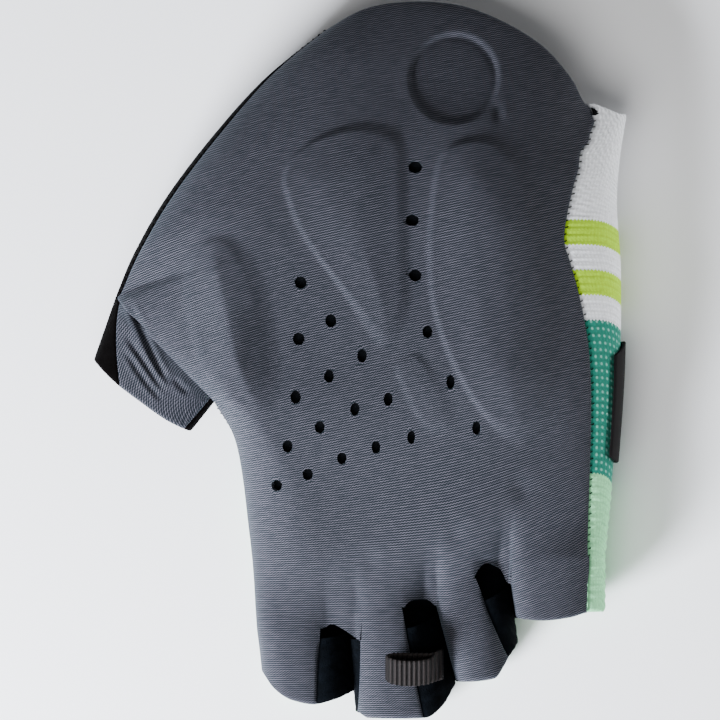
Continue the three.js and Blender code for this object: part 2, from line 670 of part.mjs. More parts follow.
for (const { name, outlineShares } of padSpecs) {
  const rim = outlineShares.map(place);
  const shape = new THREE.Shape().moveTo(rim[0].x, rim[0].y);
  shape.splineThru([...rim.slice(1), rim[0]]);
  piece(name, padUnder(shape), foam);
}
const discShape = new THREE.Shape().absarc(...place(discCentreShares).toArray(), DISC_RADIUS, 0, 2 * Math.PI);
piece("heel_disc", padUnder(discShape), foam);

// Wrist elastic, inside the back
const elasticDepth = BACK_FABRIC + SEAM_GAP;
const elastic = panel({
  surface: handPoint,
  stations: [ELASTIC_START_SHARE, shiftStation(1.5, ELASTIC_START_SHARE, ELASTIC_WIDTH)],
  from: () => elasticTurnShares[0],
  to: () => elasticTurnShares[1],
  columns: elasticColumns,
  depths: [elasticDepth, elasticDepth + ELASTIC_THICKNESS],
});
piece("wrist_elastic", elastic, ribbon);

// Threads that close the long seams, proud of the cloth
function seamThread(name, middle, stations) {
  const strand = panel({
    surface: handPoint,
    stations,
    from: (t) => shiftTurn(middle(t), t, -THREAD_WIDTH / 2),
    to: (t) => shiftTurn(middle(t), t, THREAD_WIDTH / 2),
    columns: 1,
    depths: [-LAYER_GAP - THREAD_WIDTH, -LAYER_GAP],
  });
  piece(name, strand, thread);
}

seamThread("little_side_seam", (t) => shiftTurn(palmEnd(t), t, SEAM_GAP / 2), handStations);
seamThread("thumb_side_seam", palmStart, handStations.filter((t) => t < THUMB_START_SHARE));
seamThread("index_side_seam", palmStart, handStations.filter((t) => t > THUMB_END_SHARE));

// Label on the little-finger side, with its palm corners cut off
const labelEnd = shiftStation(1, LABEL_START_SHARE, LABEL_LENGTH);
const labelTurns = [LABEL_TURN_SHARE, shiftTurn(LABEL_TURN_SHARE, LABEL_START_SHARE, LABEL_WIDTH)];
const labelGrid = labelCornerShares.map(([share, reach]) => {
  const t = mix(LABEL_START_SHARE, labelEnd, share);
  const from = mix(labelTurns[1], labelTurns[0], reach);
  return steps(stripColumns, from, labelTurns[1]).map((turn) => knot(handPoint, turn, t));
});
piece("side_label", sheet(labelGrid, -SEAM_GAP - LABEL_THICKNESS, -SEAM_GAP), rubber);

// Suede webs between the fingers, held off the palm's and the back's cloth
for (const pair of fingerPairs) {
  const [a, b] = pair;
  const atLeg = fingerSeam / (a.back[0] - a.face[1]);
  const atTop = (PALM_FABRIC + SEAM_GAP) / (2 * CROTCH_LEVEL_SHARE * HAND_THICKNESS);
  const inset = (along) => mix(atLeg, atTop, Math.sin(Math.PI * along));
  const web = panel({
    surface: (width, along) => archPoint(pair, 1 - along, width),
    stations: steps(archSteps),
    from: inset,
    to: (along) => 1 - inset(along),
    columns: stripColumns,
    depths: [0, SIDE_FABRIC],
  });
  piece(`${a.name}_${b.name}_web`, web, suede);
}

// Finger stubs: palm face, back and side strips
function stubPanel(f, turns, columns, thickness) {
  const row = (share) => steps(columns, ...turns).map((turn) => {
    const end = -fingerEnd(f, acrossOf(turn)).y;
    return fingerKnot(f, turn, mix(f.stubStart, end, share));
  });
  return sheet(steps(stubRows).map(row), 0, thickness);
}

for (const f of fingers) {
  piece(`${f.name}_palm_face`, stubPanel(f, f.face, faceColumns, PALM_FABRIC), palmCloth);
  piece(`${f.name}_back`, stubPanel(f, f.back, faceColumns, BACK_FABRIC), mintKnit);
  for (const side of ["outer", "inner"]) {
    const turns = f[`${side}Strip`];
    if (turns) piece(`${f.name}_${side}_strip`, stubPanel(f, turns, stripColumns, SIDE_FABRIC), suede);
  }
}

// Thumb stub: palm face, and a back that wraps the rest of it
const thumbRootMiddle = thumbRoot[0].clone().lerp(thumbRoot[1], 0.5);
const thumbLength = thumbRootMiddle.distanceTo(thumbMouth(0.5));
const thumbStations = [FLEX_GAP / thumbLength, ...thumbStationShares];
const thumbFrom = (b) => turnOf(mix(...thumbFaceStartShares, b ** 1.5));
const thumbTo = (b) => turnOf(mix(...thumbFaceEndShares, b ** 1.5));
const thumbFace = panel({
  surface: thumbPoint,
  stations: thumbStations,
  from: thumbFrom,
  to: thumbTo,
  columns: faceColumns,
  depths: [0, PALM_FABRIC],
});
const thumbBack = panel({
  surface: thumbPoint,
  stations: thumbStations,
  from: (b) => thumbTo(b) + fingerSeam,
  to: (b) => 2 + thumbFrom(b) - fingerSeam,
  columns: thumbBackColumns,
  depths: [0, BACK_FABRIC],
});
piece("thumb_palm_face", thumbFace, palmCloth);
piece("thumb_back", thumbBack, microfibre);

// Pull-off loop: a ribbon folded back on itself over the middle finger's palm face. Its lower ply
// lies on the finger, its upper ply bows up, and the two meet at the seam nearer the little finger.
const [, loopFinger] = fingers;
const loopTurns = loopShares.map(turnOf);
function loopPoint(share, height) {
  const { x, z } = layerPoint(fingerKnot(loopFinger, mix(...loopTurns, share), LOOP_DOWN), -height);
  return new THREE.Vector2(x, z);
}

const plySeat = SEAM_GAP + LOOP_RIBBON;
const standOff = (share) => (LOOP_HEIGHT - 2 * LOOP_RIBBON) * share * bow(share, LOOP_FULLNESS);
const towardsFold = steps(12).map((share) => Math.sin((share * Math.PI) / 2));
const ring = new THREE.Shape([
  ...towardsFold.map((share) => loopPoint(share, plySeat + LOOP_RIBBON + standOff(share))),
  ...steps(8, 1, 0).map((share) => loopPoint(share, SEAM_GAP)),
]);
ring.holes.push(new THREE.Path([
  ...steps(10, ...loopHoleShares).map((share) => loopPoint(share, plySeat + standOff(share))),
  ...steps(6, ...loopHoleShares).reverse().map((share) => loopPoint(share, plySeat)),
]));
const foldLevel = loopPoint(1, SEAM_GAP).y;
const loop = new THREE.ExtrudeGeometry(ring, { depth: LOOP_WIDTH, bevelEnabled: false });
loop.rotateX(Math.PI / 2);
loop.translate(0, LOOP_WIDTH, -foldLevel);
loop.rotateX(LOOP_TILT);
loop.translate(0, -LOOP_DOWN - LOOP_WIDTH / 2, foldLevel);
piece("pull_loop", loop, ribbon);

export default glove;
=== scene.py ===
"""A short-finger cycling glove for the right hand, lying on its back with the palm up.

The glove is stuffed as on a display form. Each panel of cloth is a closed shell worked out on a grid
over the same hand, finger and thumb surfaces that the solids follow. All sizes in the classes are in
millimetres, and the meshes are in metres. +Y points to the wrist and -X to the thumb.
"""
import logging
import math
from dataclasses import dataclass, field
from enum import Enum
from functools import partial
from typing import Any, Callable, Optional, Sequence, Union

import bmesh
import bpy
import numpy as np
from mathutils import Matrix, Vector
from numpy.typing import NDArray


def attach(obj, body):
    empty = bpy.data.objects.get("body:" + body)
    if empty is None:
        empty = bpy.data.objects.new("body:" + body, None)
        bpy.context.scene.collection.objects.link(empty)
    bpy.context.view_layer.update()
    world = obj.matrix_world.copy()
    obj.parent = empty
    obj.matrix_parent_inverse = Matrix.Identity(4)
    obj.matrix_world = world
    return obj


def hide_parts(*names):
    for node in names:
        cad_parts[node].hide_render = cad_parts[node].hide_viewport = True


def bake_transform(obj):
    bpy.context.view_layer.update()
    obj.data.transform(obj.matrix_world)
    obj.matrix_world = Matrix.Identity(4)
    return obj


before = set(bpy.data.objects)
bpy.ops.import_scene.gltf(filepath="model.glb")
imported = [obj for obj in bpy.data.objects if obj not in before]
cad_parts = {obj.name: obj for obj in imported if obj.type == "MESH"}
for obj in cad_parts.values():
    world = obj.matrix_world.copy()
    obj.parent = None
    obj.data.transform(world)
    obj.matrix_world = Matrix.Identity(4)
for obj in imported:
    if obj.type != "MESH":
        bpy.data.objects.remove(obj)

Array = NDArray[np.float64]
Pair = tuple[float, float]
Triple = tuple[float, float, float]
Pairs = Sequence[Pair]
Curve = Callable[[Array], Array]
Surface = Callable[[Array, Array], Array]
Piece = bpy.types.Object
Material = bpy.types.Material

logging.basicConfig(level=logging.INFO, format="%(message)s")
log = logging.getLogger("glove")

MM = 0.001
PIXEL = 0.25  # millimetres to a pixel of the picture, at the height of the glove's sides
PICTURE_SIZE = 720
SLOPE_STEP = 1e-3  # the small step that finds a surface's slopes
NEWTON_STEPS = 20
SHARP_ANGLE = math.radians(75)  # where the outer face meets a wall round its border
HEM_FALL_SHARE = 0.42  # how far a rounded border falls, as a share of the cloth's thickness
HEM_WIDTH_SHARE = 0.8  # how wide its rounding is, as a share of the thickness
NARROWEST_SHEET = 0.01  # in metres: a ribbon or strip narrower than this has no area worked out
OFF_FLOOR = (0.2, 2.0)  # the heights between which the knit's relief sets in


class Body(str, Enum):
    """The moving bodies of the glove."""

    HAND = "hand"
    INDEX = "index_finger"
    MIDDLE = "middle_finger"
    RING = "ring_finger"
    LITTLE = "little_finger"
    THUMB = "thumb"
    LOOP = "pull_loop"


class Slot(str, Enum):
    """The material slots of the record."""

    PALM = "palm_cloth"
    BACK = "back_knit"
    FINGER = "finger_knit"
    MICROFIBRE = "microfibre"
    SUEDE = "suede"
    LINING = "lining"
    FOAM = "foam"
    RIBBON = "ribbon"
    LABEL = "label"
    THREAD = "thread"


def from_picture(places: Pairs) -> Array:
    """Turns places in the picture, in pixels, into places on the plan, in millimetres.

    Args:
        places: Pixel columns and rows, from the top left corner.

    Returns:
        One row of x and y for each place.
    """
    pixels = np.array(places, float)
    centre = PICTURE_SIZE / 2
    return np.stack([pixels[:, 0] - centre, centre - pixels[:, 1]], axis=1) * PIXEL


def mix(low: Any, high: Any, share: Any) -> Any:
    """Returns the value a share of the way from low to high."""
    return low + (high - low) * share


def smooth(value: Array, low: float, high: float) -> Array:
    """Rises from 0 at low to 1 at high, level at both ends."""
    share = np.clip((value - low) / (high - low), 0, 1)
    return share * share * (3 - 2 * share)


def hump(value: Array, width: float) -> Array:
    """A bell of height 1 at 0, down to about a third at the given width."""
    return np.exp(-((value / width) ** 2))


def unit(vectors: Array) -> Array:
    """Scales vectors along the last axis to length 1."""
    return vectors / np.maximum(np.linalg.norm(vectors, axis=-1, keepdims=True), 1e-12)


def outline(places: Array) -> Curve:
    """A Catmull-Rom curve through places, its parameter stepping evenly from place to place.

    Args:
        places: The places in order, one a row.

    Returns:
        A function from a share of the run, 0 to 1, to a place.
    """
    ends = np.vstack([places[:1], places, places[-1:]])

    def curve(share: Array) -> Array:
        """The place at a share, by the cubic between the places on either side.

        Args:
            share: Shares of the run, 0 to 1.

        Returns:
            A place for each share.
        """
        run = np.clip(share, 0, 1) * (len(places) - 1)
        k = np.minimum(run.astype(int), len(places) - 2)
        w = (run - k)[..., None]
        before, start, stop, after = ends[k], ends[k + 1], ends[k + 2], ends[k + 3]
        leave, arrive = (stop - before) / 2, (after - start) / 2
        cubic = 2 * start - 2 * stop + leave + arrive
        square = -3 * start + 3 * stop - 2 * leave - arrive
        return ((cubic * w + square) * w + leave) * w + start

    return curve


def closed_outline(places: Array, count: int) -> Array:
    """Points evenly spread on a smooth closed curve through places.

    Args:
        places: The places in order, one a row.
        count: How many points.

    Returns:
        The points, one a row.
    """
    ring = np.vstack([places[-1:], places, places[:2]])
    shares = np.linspace(1, len(places) + 1, count, endpoint=False) / (len(ring) - 1)
    return outline(ring)(shares)


def through(pairs: Pairs) -> Curve:
    """A smooth function through (station, value) pairs, level where they turn back.

    Between two stations it is a cubic whose end slopes are the harmonic means of the slopes of the
    neighbouring stretches.

    Args:
        pairs: Stations in rising order, each with its value.

    Returns:
        A function from stations to values.
    """
    x, y = np.array(pairs, float).T
    secant = np.diff(y) / np.diff(x)
    before, after = secant[:-1], secant[1:]
    together = np.where(np.abs(before + after) > 1e-12, before + after, 1)
    inner = np.where(before * after > 0, 2 * before * after / together, 0)
    slope = np.concatenate([secant[:1], inner, secant[-1:]])

    def value(station: Array) -> Array:
        """The value at a station, by the cubic between its neighbours.

        Args:
            station: Stations, held to the range of the pairs.

        Returns:
            A value for each station.
        """
        at = np.clip(station, x[0], x[-1])
        k = np.clip(np.searchsorted(x, at, side="right") - 1, 0, len(x) - 2)
        step = x[k + 1] - x[k]
        q = (at - x[k]) / step
        ease = q * q * (3 - 2 * q)
        leave = slope[k] * q * (1 - q) ** 2 * step
        arrive = slope[k + 1] * q * q * (q - 1) * step
        return mix(y[k], y[k + 1], ease) + leave + arrive

    return value


def depth_inside(x: Array, y: Array, ring: Array) -> Array:
    """How far plan places lie inside a closed outline, and below 0 outside it.

    The nearest point of each edge gives the distance, and the count of edges crossed on the way
    to the right says which side a place is on.

    Args:
        x, y: Places across and along, of one shape.
        ring: The outline's corners, one a row.

    Returns:
        Distances in millimetres, of the shape of x.
    """
    away = line_distance(x, y, np.vstack([ring, ring[:1]]))[0]
    px, py = x.reshape(-1, 1), y.reshape(-1, 1)
    ax, ay = ring.T
    bx, by = np.roll(ring, -1, axis=0).T
    rise = np.where(by == ay, 1, by - ay)
    crossing = ((ay > py) != (by > py)) & (px < ax + (py - ay) / rise * (bx - ax))
    inside = crossing.sum(axis=1) % 2 == 1
    return np.where(inside.reshape(x.shape), away, -away)


def line_distance(x: Array, y: Array, line: Array) -> tuple[Array, Array]:
    """The distance from plan places to an open line, and the share of the line they are beside.

    Args:
        x, y: Places across and along, of one shape.
        line: The line's points, one a row.

    Returns:
        The distances, and the shares from 0 at the line's start to 1 at its end.
    """
    px, py = x.reshape(-1, 1), y.reshape(-1, 1)
    ax, ay = line[:-1].T
    ex, ey = np.diff(line, axis=0).T
    along = np.clip(((px - ax) * ex + (py - ay) * ey) / (ex * ex + ey * ey), 0, 1)
    away = np.hypot(px - ax - along * ex, py - ay - along * ey)
    nearest = away.argmin(axis=1)
    rows = np.arange(len(away))
    share = (nearest + along[rows, nearest]) / len(ex)
    return away[rows, nearest].reshape(x.shape), share.reshape(x.shape)


def across_of(turn: Array) -> Array:
    """The share of the way across at a turn: 0 is the thumb edge, 1 the little-finger edge."""
    return (1 - np.cos(np.pi * turn)) / 2


def turn_of(across: Any) -> Any:
    """The turn, 0 to 1, at a share of the way across, and below 0 for shares below 0."""
    return np.sign(across) * np.arccos(1 - 2 * np.clip(np.abs(across), 0, 1)) / np.pi


def is_back(turn: Array) -> Array:
    """Whether a turn lies on the back of the glove."""
    return (turn < 0) | ((turn > 1) & (turn <= 2))


def quarter_round(reach: Array) -> Array:
    """The height of a quarter circle, 0 at reach 0 and level from reach 1."""
    return np.sqrt(1 - (1 - np.clip(reach, 0, 1)) ** 2)


def bow(off_centre: Array, fullness: float) -> Array:
    """A superellipse's height, 1 at the centre and 0 at either side."""
    return np.sqrt(np.maximum(0, 1 - np.abs(off_centre) ** fullness))


@dataclass(frozen=True)
class FingerForm:
    """One finger stub: its place in the row of crotches, hinge, mouth edge and seams, as shares."""

    name: str
    body: Body
    row: Pair
    hinge: float
    corners: Pair
    mouth: Pairs
    face: Pair
    face_end: Pair
    back: Pair
    crowns: Pair
    outer_swell: Pair = (0.4, 0.36)
    inner_swell: Pair = (0.4, 0.36)
    lean: float = 0.78  # below 1, the crown of the finger's palm side leans to the thumb

    @property
    def face_wraps(self) -> bool:
        """Whether the palm cloth wraps under the finger's thumb side."""
        return self.face[0] < 0

    @property
    def knit_wraps(self) -> bool:
        """Whether the knit wraps up the finger's outer side."""
        return self.row[1] == 1

    def face_turns(self, share: Array) -> tuple[Array, Array]:
        """The turns between which the palm cloth lies, at shares from the root to the mouth."""
        return tuple(turn_of(mix(root, end, share)) for root, end in zip(self.face, self.face_end))

    def back_turns(self, share: Array) -> tuple[Array, Array]:
        """The turns between which the knit lies.

        Args:
            share: Shares from the root to the mouth.

        Returns:
            The first and last turns.
        """
        face = self.face_turns(share)
        first = face[1] if self.knit_wraps else 2 - turn_of(self.back[1]) + 0 * share
        last = 2 + face[0] if self.face_wraps else 2 - turn_of(self.back[0]) + 0 * share
        return first, last


@dataclass
class HandForm:
    """The outer surface of the stuffed glove, by the formulas and shares of its solids."""

    half_length: float = 90.0
    half_width: float = 67.0
    thickness: float = 34.0
    back_ease: float = 1.2
    thumb_start: float = 0.44
    thumb_end: float = 0.62
    pinch_start: float = 0.86
    root_ease: float = 0.6  # how much the roll over the thumb's root is eased
    root_rise: Pair = (0.32, 0.47)
    root_fall: Pair = (0.5, 0.62)
    strip_gap: float = 0.8  # from a finger's hinge to the start of its suede
    side_panel_end: float = 0.66
    side_level_share: float = 0.38
    back_roll_share: float = 0.22
    thumb_crown_share: float = 0.29
    thumb_back_share: float = 0.33
    thumb_mouth_crown_share: float = 0.26
    thumb_mouth_back_share: float = 0.27
    crotch_level_share: float = 0.12
    valley_shares: Pairs = ((0.26, 0.26), (0.502, 0.17), (0.7145, 0.16))
    finger_back_share: float = 0.32
    palm_fullness: float = 2.4
    back_fullness: float = 3.0
    thumb_edge_shares: Pairs = (
        (-0.142, 0.911), (-0.362, 0.778), (-0.563, 0.611), (-0.731, 0.444), (-0.847, 0.292), (-0.914, 0.172),
    )
    index_edge_shares: Pairs = (
        (-0.545, -0.117), (-0.474, -0.211), (-0.437, -0.328), (-0.414, -0.472), (-0.396, -0.611),
        (-0.384, -0.75),
    )
    little_edge_shares: Pairs = (
        (1, 0.683), (0.974, 0.556), (0.963, 0.431), (0.978, 0.25), (0.974, -0.028), (0.948, -0.306),
        (0.918, -0.544),
    )
    tongue_shares: Pairs = (
        (-0.142, 0.911), (0.019, 0.978), (0.194, 0.997), (0.373, 0.986), (0.541, 0.939), (0.69, 0.869),
        (0.791, 0.783), (0.858, 0.703), (1, 0.683),
    )
    cuff_shares: Pairs = ((-0.142, 0.911), (0.149, 0.806), (0.429, 0.736), (0.709, 0.694), (1, 0.683))
    crotch_shares: Pairs = (
        (-0.384, -0.75), (-0.06, -0.728), (0.265, -0.658), (0.59, -0.561), (0.918, -0.544),
    )
    thumb_mouth_shares: Pairs = (
        (-0.996, -0.003), (-0.915, -0.062), (-0.822, -0.115), (-0.725, -0.166), (-0.634, -0.2),
    )
    crown_shares: Pairs = (
        (0, 0.25), (0.12, 0.42), (0.25, 0.55), (0.42, 0.61), (0.65, 0.61), (0.82, 0.5), (1, 0.36),
    )
    back_shares: Pairs = ((0, 0.29), (0.2, 0.37), (0.36, 0.42), (0.72, 0.42), (0.88, 0.39), (1, 0.34))
    thumb_roll_shares: Pairs = (
        (0, 0.42), (0.3, 0.5), (0.44, 0.48), (0.5, 0.4), (0.56, 0.24), (0.62, 0.09), (0.7, 0.14),
        (0.85, 0.24), (1, 0.28),
    )
    little_roll_shares: Pairs = ((0, 0.46), (0.3, 0.55), (0.5, 0.6), (0.75, 0.68), (1, 0.6))
    palm_start_shares: Pairs = (
        (0, 0.085), (0.15, 0.105), (0.3, 0.09), (0.38, 0.075), (0.432, 0.06), (0.45, 0), (0.62, 0),
        (0.72, -0.08), (1, -0.137),
    )
    palm_end_shares: Pairs = (
        (0, 0.775), (0.014, 0.783), (0.03, 0.79), (0.056, 0.8025), (0.087, 0.801), (0.11, 0.803),
        (0.125, 0.797), (0.148, 0.79), (0.176, 0.793), (0.204, 0.796), (0.235, 0.7945), (0.265, 0.793),
        (0.295, 0.7915), (0.35, 0.786), (0.42, 0.7795), (0.475, 0.784), (0.53, 0.792), (0.64, 0.8075),
        (0.75, 0.8145), (0.86, 0.8205), (0.95, 0.8275), (1, 0.8335),
    )
    side_panel_shares: Pairs = ((0, 0.36), (0.3, 0.34), (0.5, 0.24), (0.66, 0.1))
    fingers: tuple[FingerForm, ...] = (
        FingerForm(
            "index", Body.INDEX, (0, 0.255), -0.769, (-0.366, -0.04),
            ((0, -0.87), (0.15, -0.917), (0.35, -0.944), (0.6, -0.955), (0.8, -0.942), (1, -0.92)),
            (-0.18, 0.74), (-0.18, 0.64), (-0.22, 0.82), (0.33, 0.3), (0.6, 1.5),
        ),
        FingerForm(
            "middle", Body.MIDDLE, (0.265, 0.497), -0.745, (-0.011, 0.347),
            ((0, -0.98), (0.1, -0.993), (0.5, -0.994), (0.72, -0.992), (0.88, -0.96), (1, -0.905)),
            (0.13, 0.65), (0.0, 0.7), (0.15, 0.84), (0.34, 0.31), (0.8, 0.9), (0.3, 0.3),
        ),
        FingerForm(
            "ring", Body.RING, (0.507, 0.708), -0.672, (0.36, 0.582),
            ((0, -0.895), (0.3, -0.892), (0.65, -0.883), (0.85, -0.84), (1, -0.79)),
            (0.0, 0.6), (0.0, 0.9), (0.15, 0.84), (0.31, 0.28), (1.0, 0.6), (0.5, 0.4),
        ),
        FingerForm(
            "little", Body.LITTLE, (0.721, 1), -0.592, (0.582, 0.918),
            ((0, -0.718), (0.3, -0.723), (0.6, -0.715), (0.85, -0.7), (1, -0.7)),
            (0.0, 0.762), (0.0, 0.8), (0.15, 0.8), (0.34, 0.3), (0.4, 0.36), (0.7, 0.6), 0.54,
        ),
    )
    curves: dict[str, Curve] = field(default_factory=dict)
    rules: dict[str, Curve] = field(default_factory=dict)

    def __post_init__(self) -> None:
        """Makes the edge curves and the smooth rules, each from the shares of its name."""
        scale = np.array([self.half_width, self.half_length])
        for name in ("thumb_edge", "index_edge", "little_edge", "tongue", "cuff", "crotch", "thumb_mouth"):
            self.curves[name] = outline(np.array(getattr(self, name + "_shares")) * scale)
        for name in ("crown", "back", "thumb_roll", "little_roll", "palm_start", "palm_end", "side_panel"):
            self.rules[name] = through(getattr(self, name + "_shares"))

    @property
    def side_level(self) -> float:
        """The height of the glove's widest line."""
        return self.side_level_share * self.thickness

    @property
    def thumb_root(self) -> tuple[Array, Array]:
        """The two ends of the thumb's root line, on the plan."""
        return self.curves["thumb_edge"](np.array(1.0)), self.curves["index_edge"](np.array(0.0))

    def root_share(self, t: Array) -> Array:
        """The share of the thumb's root line at a station of the hand."""
        return np.clip((t - self.thumb_start) / (self.thumb_end - self.thumb_start), 0, 1)

    def left_edge(self, t: Array) -> Array:
        """The thumb-side edge: round the wrist, across the thumb's root, down to the index finger.

        Args:
            t: Stations of the hand.

        Returns:
            Places on the plan.
        """
        first, last = self.thumb_root
        above = self.curves["thumb_edge"](t / self.thumb_start)
        below = self.curves["index_edge"]((t - self.thumb_end) / (1 - self.thumb_end))
        across = mix(first, last, self.root_share(t)[..., None])
        edge = np.where((t >= self.thumb_end)[..., None], below, across)
        return np.where((t <= self.thumb_start)[..., None], above, edge)

    def plan(self, s: Array, t: Array, wrist: Curve) -> Array:
        """A plan place, filled in between the hand's four edges as a Coons patch.

        Args:
            s: Shares across, from the thumb side.
            t: Shares along, from the wrist.
            wrist: The edge at the wrist.

        Returns:
            Places on the plan.
        """
        crotches = self.curves["crotch"]
        s, t = np.broadcast_arrays(s, t)
        zero, one = np.zeros_like(s), np.ones_like(s)
        u, v = s[..., None], t[..., None]
        ends = mix(wrist(s), crotches(s), v)
        sides = mix(self.left_edge(t), self.curves["little_edge"](t), u)
        corners = mix(mix(wrist(zero), crotches(zero), v), mix(wrist(one), crotches(one), v), u)
        return ends + sides - corners

    def palm_bow(self, finger: FingerForm, across: Array) -> Array:
        """The section of a finger's palm side, whose crown leans to the thumb."""
        return bow(2 * np.clip(across, 0, 1) ** finger.lean - 1, self.palm_fullness)

    def back_bow(self, across: Array) -> Array:
        """The section of a finger's back."""
        return bow(2 * across - 1, self.back_fullness)

    def crotch_row(self, s: Array, back: Array) -> Array:
        """The height of the four fingers side by side, on the row of crotches.

        Args:
            s: Shares across the row.
            back: Whether each place is on the back.

        Returns:
            Heights from the widest line, in millimetres.
        """
        valley = np.interp(s, *np.array(self.valley_shares).T)
        valley = np.where(back, self.crotch_level_share, valley)
        height = valley
        for finger in self.fingers:
            first, last = finger.row
            across = (s - first) / (last - first)
            palm = finger.crowns[0] * self.palm_bow(finger, across)
            level = np.where(back, self.finger_back_share * self.back_bow(across), palm)
            outside = (finger.face_wraps & (across < 0.5)) | (finger.knit_wraps & (across > 0.5))
            level = np.maximum(level, np.where(outside, 0, valley))
            height = np.where((s >= first) & (s <= last), level, height)
        return height * self.thickness

    def hand(self, turn: Array, t: Array) -> Array:
        """The hand's outer surface.

        The height is the crown of the palm, or the depth of the back, rolled down at both sides by
        quarter rounds, with the thumb's root filled in, and eased into the row of fingers.

        Args:
            turn: Turns round the hand.
            t: Stations, 0 at the wrist and 1 at the crotches.

        Returns:
            Points.
        """
        turn, t = np.broadcast_arrays(turn, t)
        back = is_back(turn)
        s = across_of(turn)
        wrist_up = self.plan(s, t, self.curves["tongue"])
        wrist_down = self.plan(s, t, self.curves["cuff"])
        place = np.where(back[..., None], wrist_down, wrist_up)
        row = np.linalg.norm(self.left_edge(t) - self.curves["little_edge"](t), axis=-1)
        thumb_roll = self.rules["thumb_roll"](t)
        tight = np.sqrt(thumb_roll / self.thumb_roll_shares[0][1])
        roll_in = np.where(back, self.back_roll_share * tight, thumb_roll) * self.half_width
        little_roll = self.rules["little_roll"](t)
        roll_out = np.where(back, self.back_roll_share, little_roll) * self.half_width
        reach = s * row / roll_in
        by_root = self.root_ease * smooth(t, *self.root_rise) * (1 - smooth(t, *self.root_fall)) * ~back
        left = mix(quarter_round(reach), smooth(reach, 0, 1), by_root)
        right = quarter_round((1 - s) * row / roll_out)
        root_height = np.where(back, self.thumb_back_share, self.thumb_crown_share)
        root = self.back_bow(self.root_share(t)) * root_height
        full = np.where(back, self.rules["back"](t), self.rules["crown"](t))
        level = (root * (1 - left) + full * left * right) * self.thickness
        pinch = smooth(t, self.pinch_start, 1) ** 2
        height = mix(level, self.crotch_row(s, back), pinch)
        low = self.side_level - height
        near_floor = np.maximum(low + self.back_ease, 0) ** 2 / (4 * self.back_ease)
        eased = np.where(low > self.back_ease, low, near_floor)
        z = np.where(back, eased, self.side_level + height)
        return np.concatenate([place, z[..., None]], axis=-1)

    def mouth(self, finger: FingerForm, across: Array) -> Array:
        """Places on a finger stub's mouth edge.

        Args:
            finger: The finger.
            across: Shares across it, from the thumb side.

        Returns:
            Places on the plan.
        """
        x = mix(*finger.corners, across) * self.half_width
        y = through(finger.mouth)(across) * self.half_length
        return np.stack([x, y], axis=-1)

    def finger(self, finger: FingerForm, turn: Array, down: Array) -> Array:
        """A finger stub's outer surface, with straight lines from its root to its mouth.

        Its section is a superellipse above the widest line and one below, narrowing to the mouth.

        Args:
            finger: The finger.
            turn: Turns round it.
            down: Distances down the glove, from the glove's middle.

        Returns:
            Points.
        """
        turn, down = np.broadcast_arrays(turn, down)
        back = is_back(turn)
        across = across_of(turn)
        root = self.curves["crotch"](mix(*finger.row, across))
        end = self.mouth(finger, across)
        along = (root[..., 1] + down) / (root[..., 1] - end[..., 1])
        narrowing = (finger.crowns[0] - finger.crowns[1]) * along
        palm = self.palm_bow(finger, across) * (finger.crowns[0] - narrowing)
        under = -self.back_bow(across) * (self.finger_back_share - narrowing)
        z = self.side_level + np.where(back, under, palm) * self.thickness
        return np.stack([mix(root[..., 0], end[..., 0], along), -down, z], axis=-1)

    def down_at(self, finger: FingerForm, turn: Array, share: Array) -> Array:
        """How far down the glove a share of a stub's length is.

        Args:
            finger: The finger.
            turn: Turns round it.
            share: Shares of its length.

        Returns:
            Distances from the glove's middle.
        """
        across = across_of(turn)
        root = self.curves["crotch"](mix(*finger.row, across))[..., 1]
        return -mix(root, self.mouth(finger, across)[..., 1], share)

    def web_share(self, finger: FingerForm) -> float:
        """The share of a stub's length at which its strips start, below the hinge."""
        root, end = self.down_at(finger, np.array(0.5), np.array([0.0, 1.0]))
        return float((-finger.hinge * self.half_length + self.strip_gap - root) / (end - root))

    def thumb(self, turn: Array, b: Array) -> Array:
        """The thumb stub's outer surface, with straight lines from its root to its mouth.

        Args:
            turn: Turns round the thumb.
            b: Shares of its length, from the root line.

        Returns:
            Points.
        """
        turn, b = np.broadcast_arrays(turn, b)
        back = is_back(turn)
        across = across_of(turn)
        first, last = self.thumb_root
        root = mix(first, last, across[..., None])
        place = mix(root, self.curves["thumb_mouth"](across), b[..., None])
        under = -mix(self.thumb_back_share, self.thumb_mouth_back_share, b)
        palm = mix(self.thumb_crown_share, self.thumb_mouth_crown_share, b)
        z = self.side_level + self.back_bow(across) * np.where(back, under, palm) * self.thickness
        return np.concatenate([place, z[..., None]], axis=-1)

    def locate(self, places: Array) -> tuple[Array, Array]:
        """Finds plan places on the palm, by Newton steps.

        Args:
            places: Places on the plan.

        Returns:
            Their turns and stations.
        """
        s = np.full(places.shape[:-1], 0.5)
        t = s.copy()
        wrist = self.curves["tongue"]
        for _ in range(NEWTON_STEPS):
            here = self.plan(s, t, wrist)
            ds = (self.plan(s + SLOPE_STEP, t, wrist) - here) / SLOPE_STEP
            dt = (self.plan(s, t + SLOPE_STEP, wrist) - here) / SLOPE_STEP
            miss = places - here
            area = ds[..., 0] * dt[..., 1] - ds[..., 1] * dt[..., 0]
            s = np.clip(s + (miss[..., 0] * dt[..., 1] - miss[..., 1] * dt[..., 0]) / area, 0, 1 - SLOPE_STEP)
            t = np.clip(t + (ds[..., 0] * miss[..., 1] - ds[..., 1] * miss[..., 0]) / area, 0, 1 - SLOPE_STEP)
        return turn_of(s), t


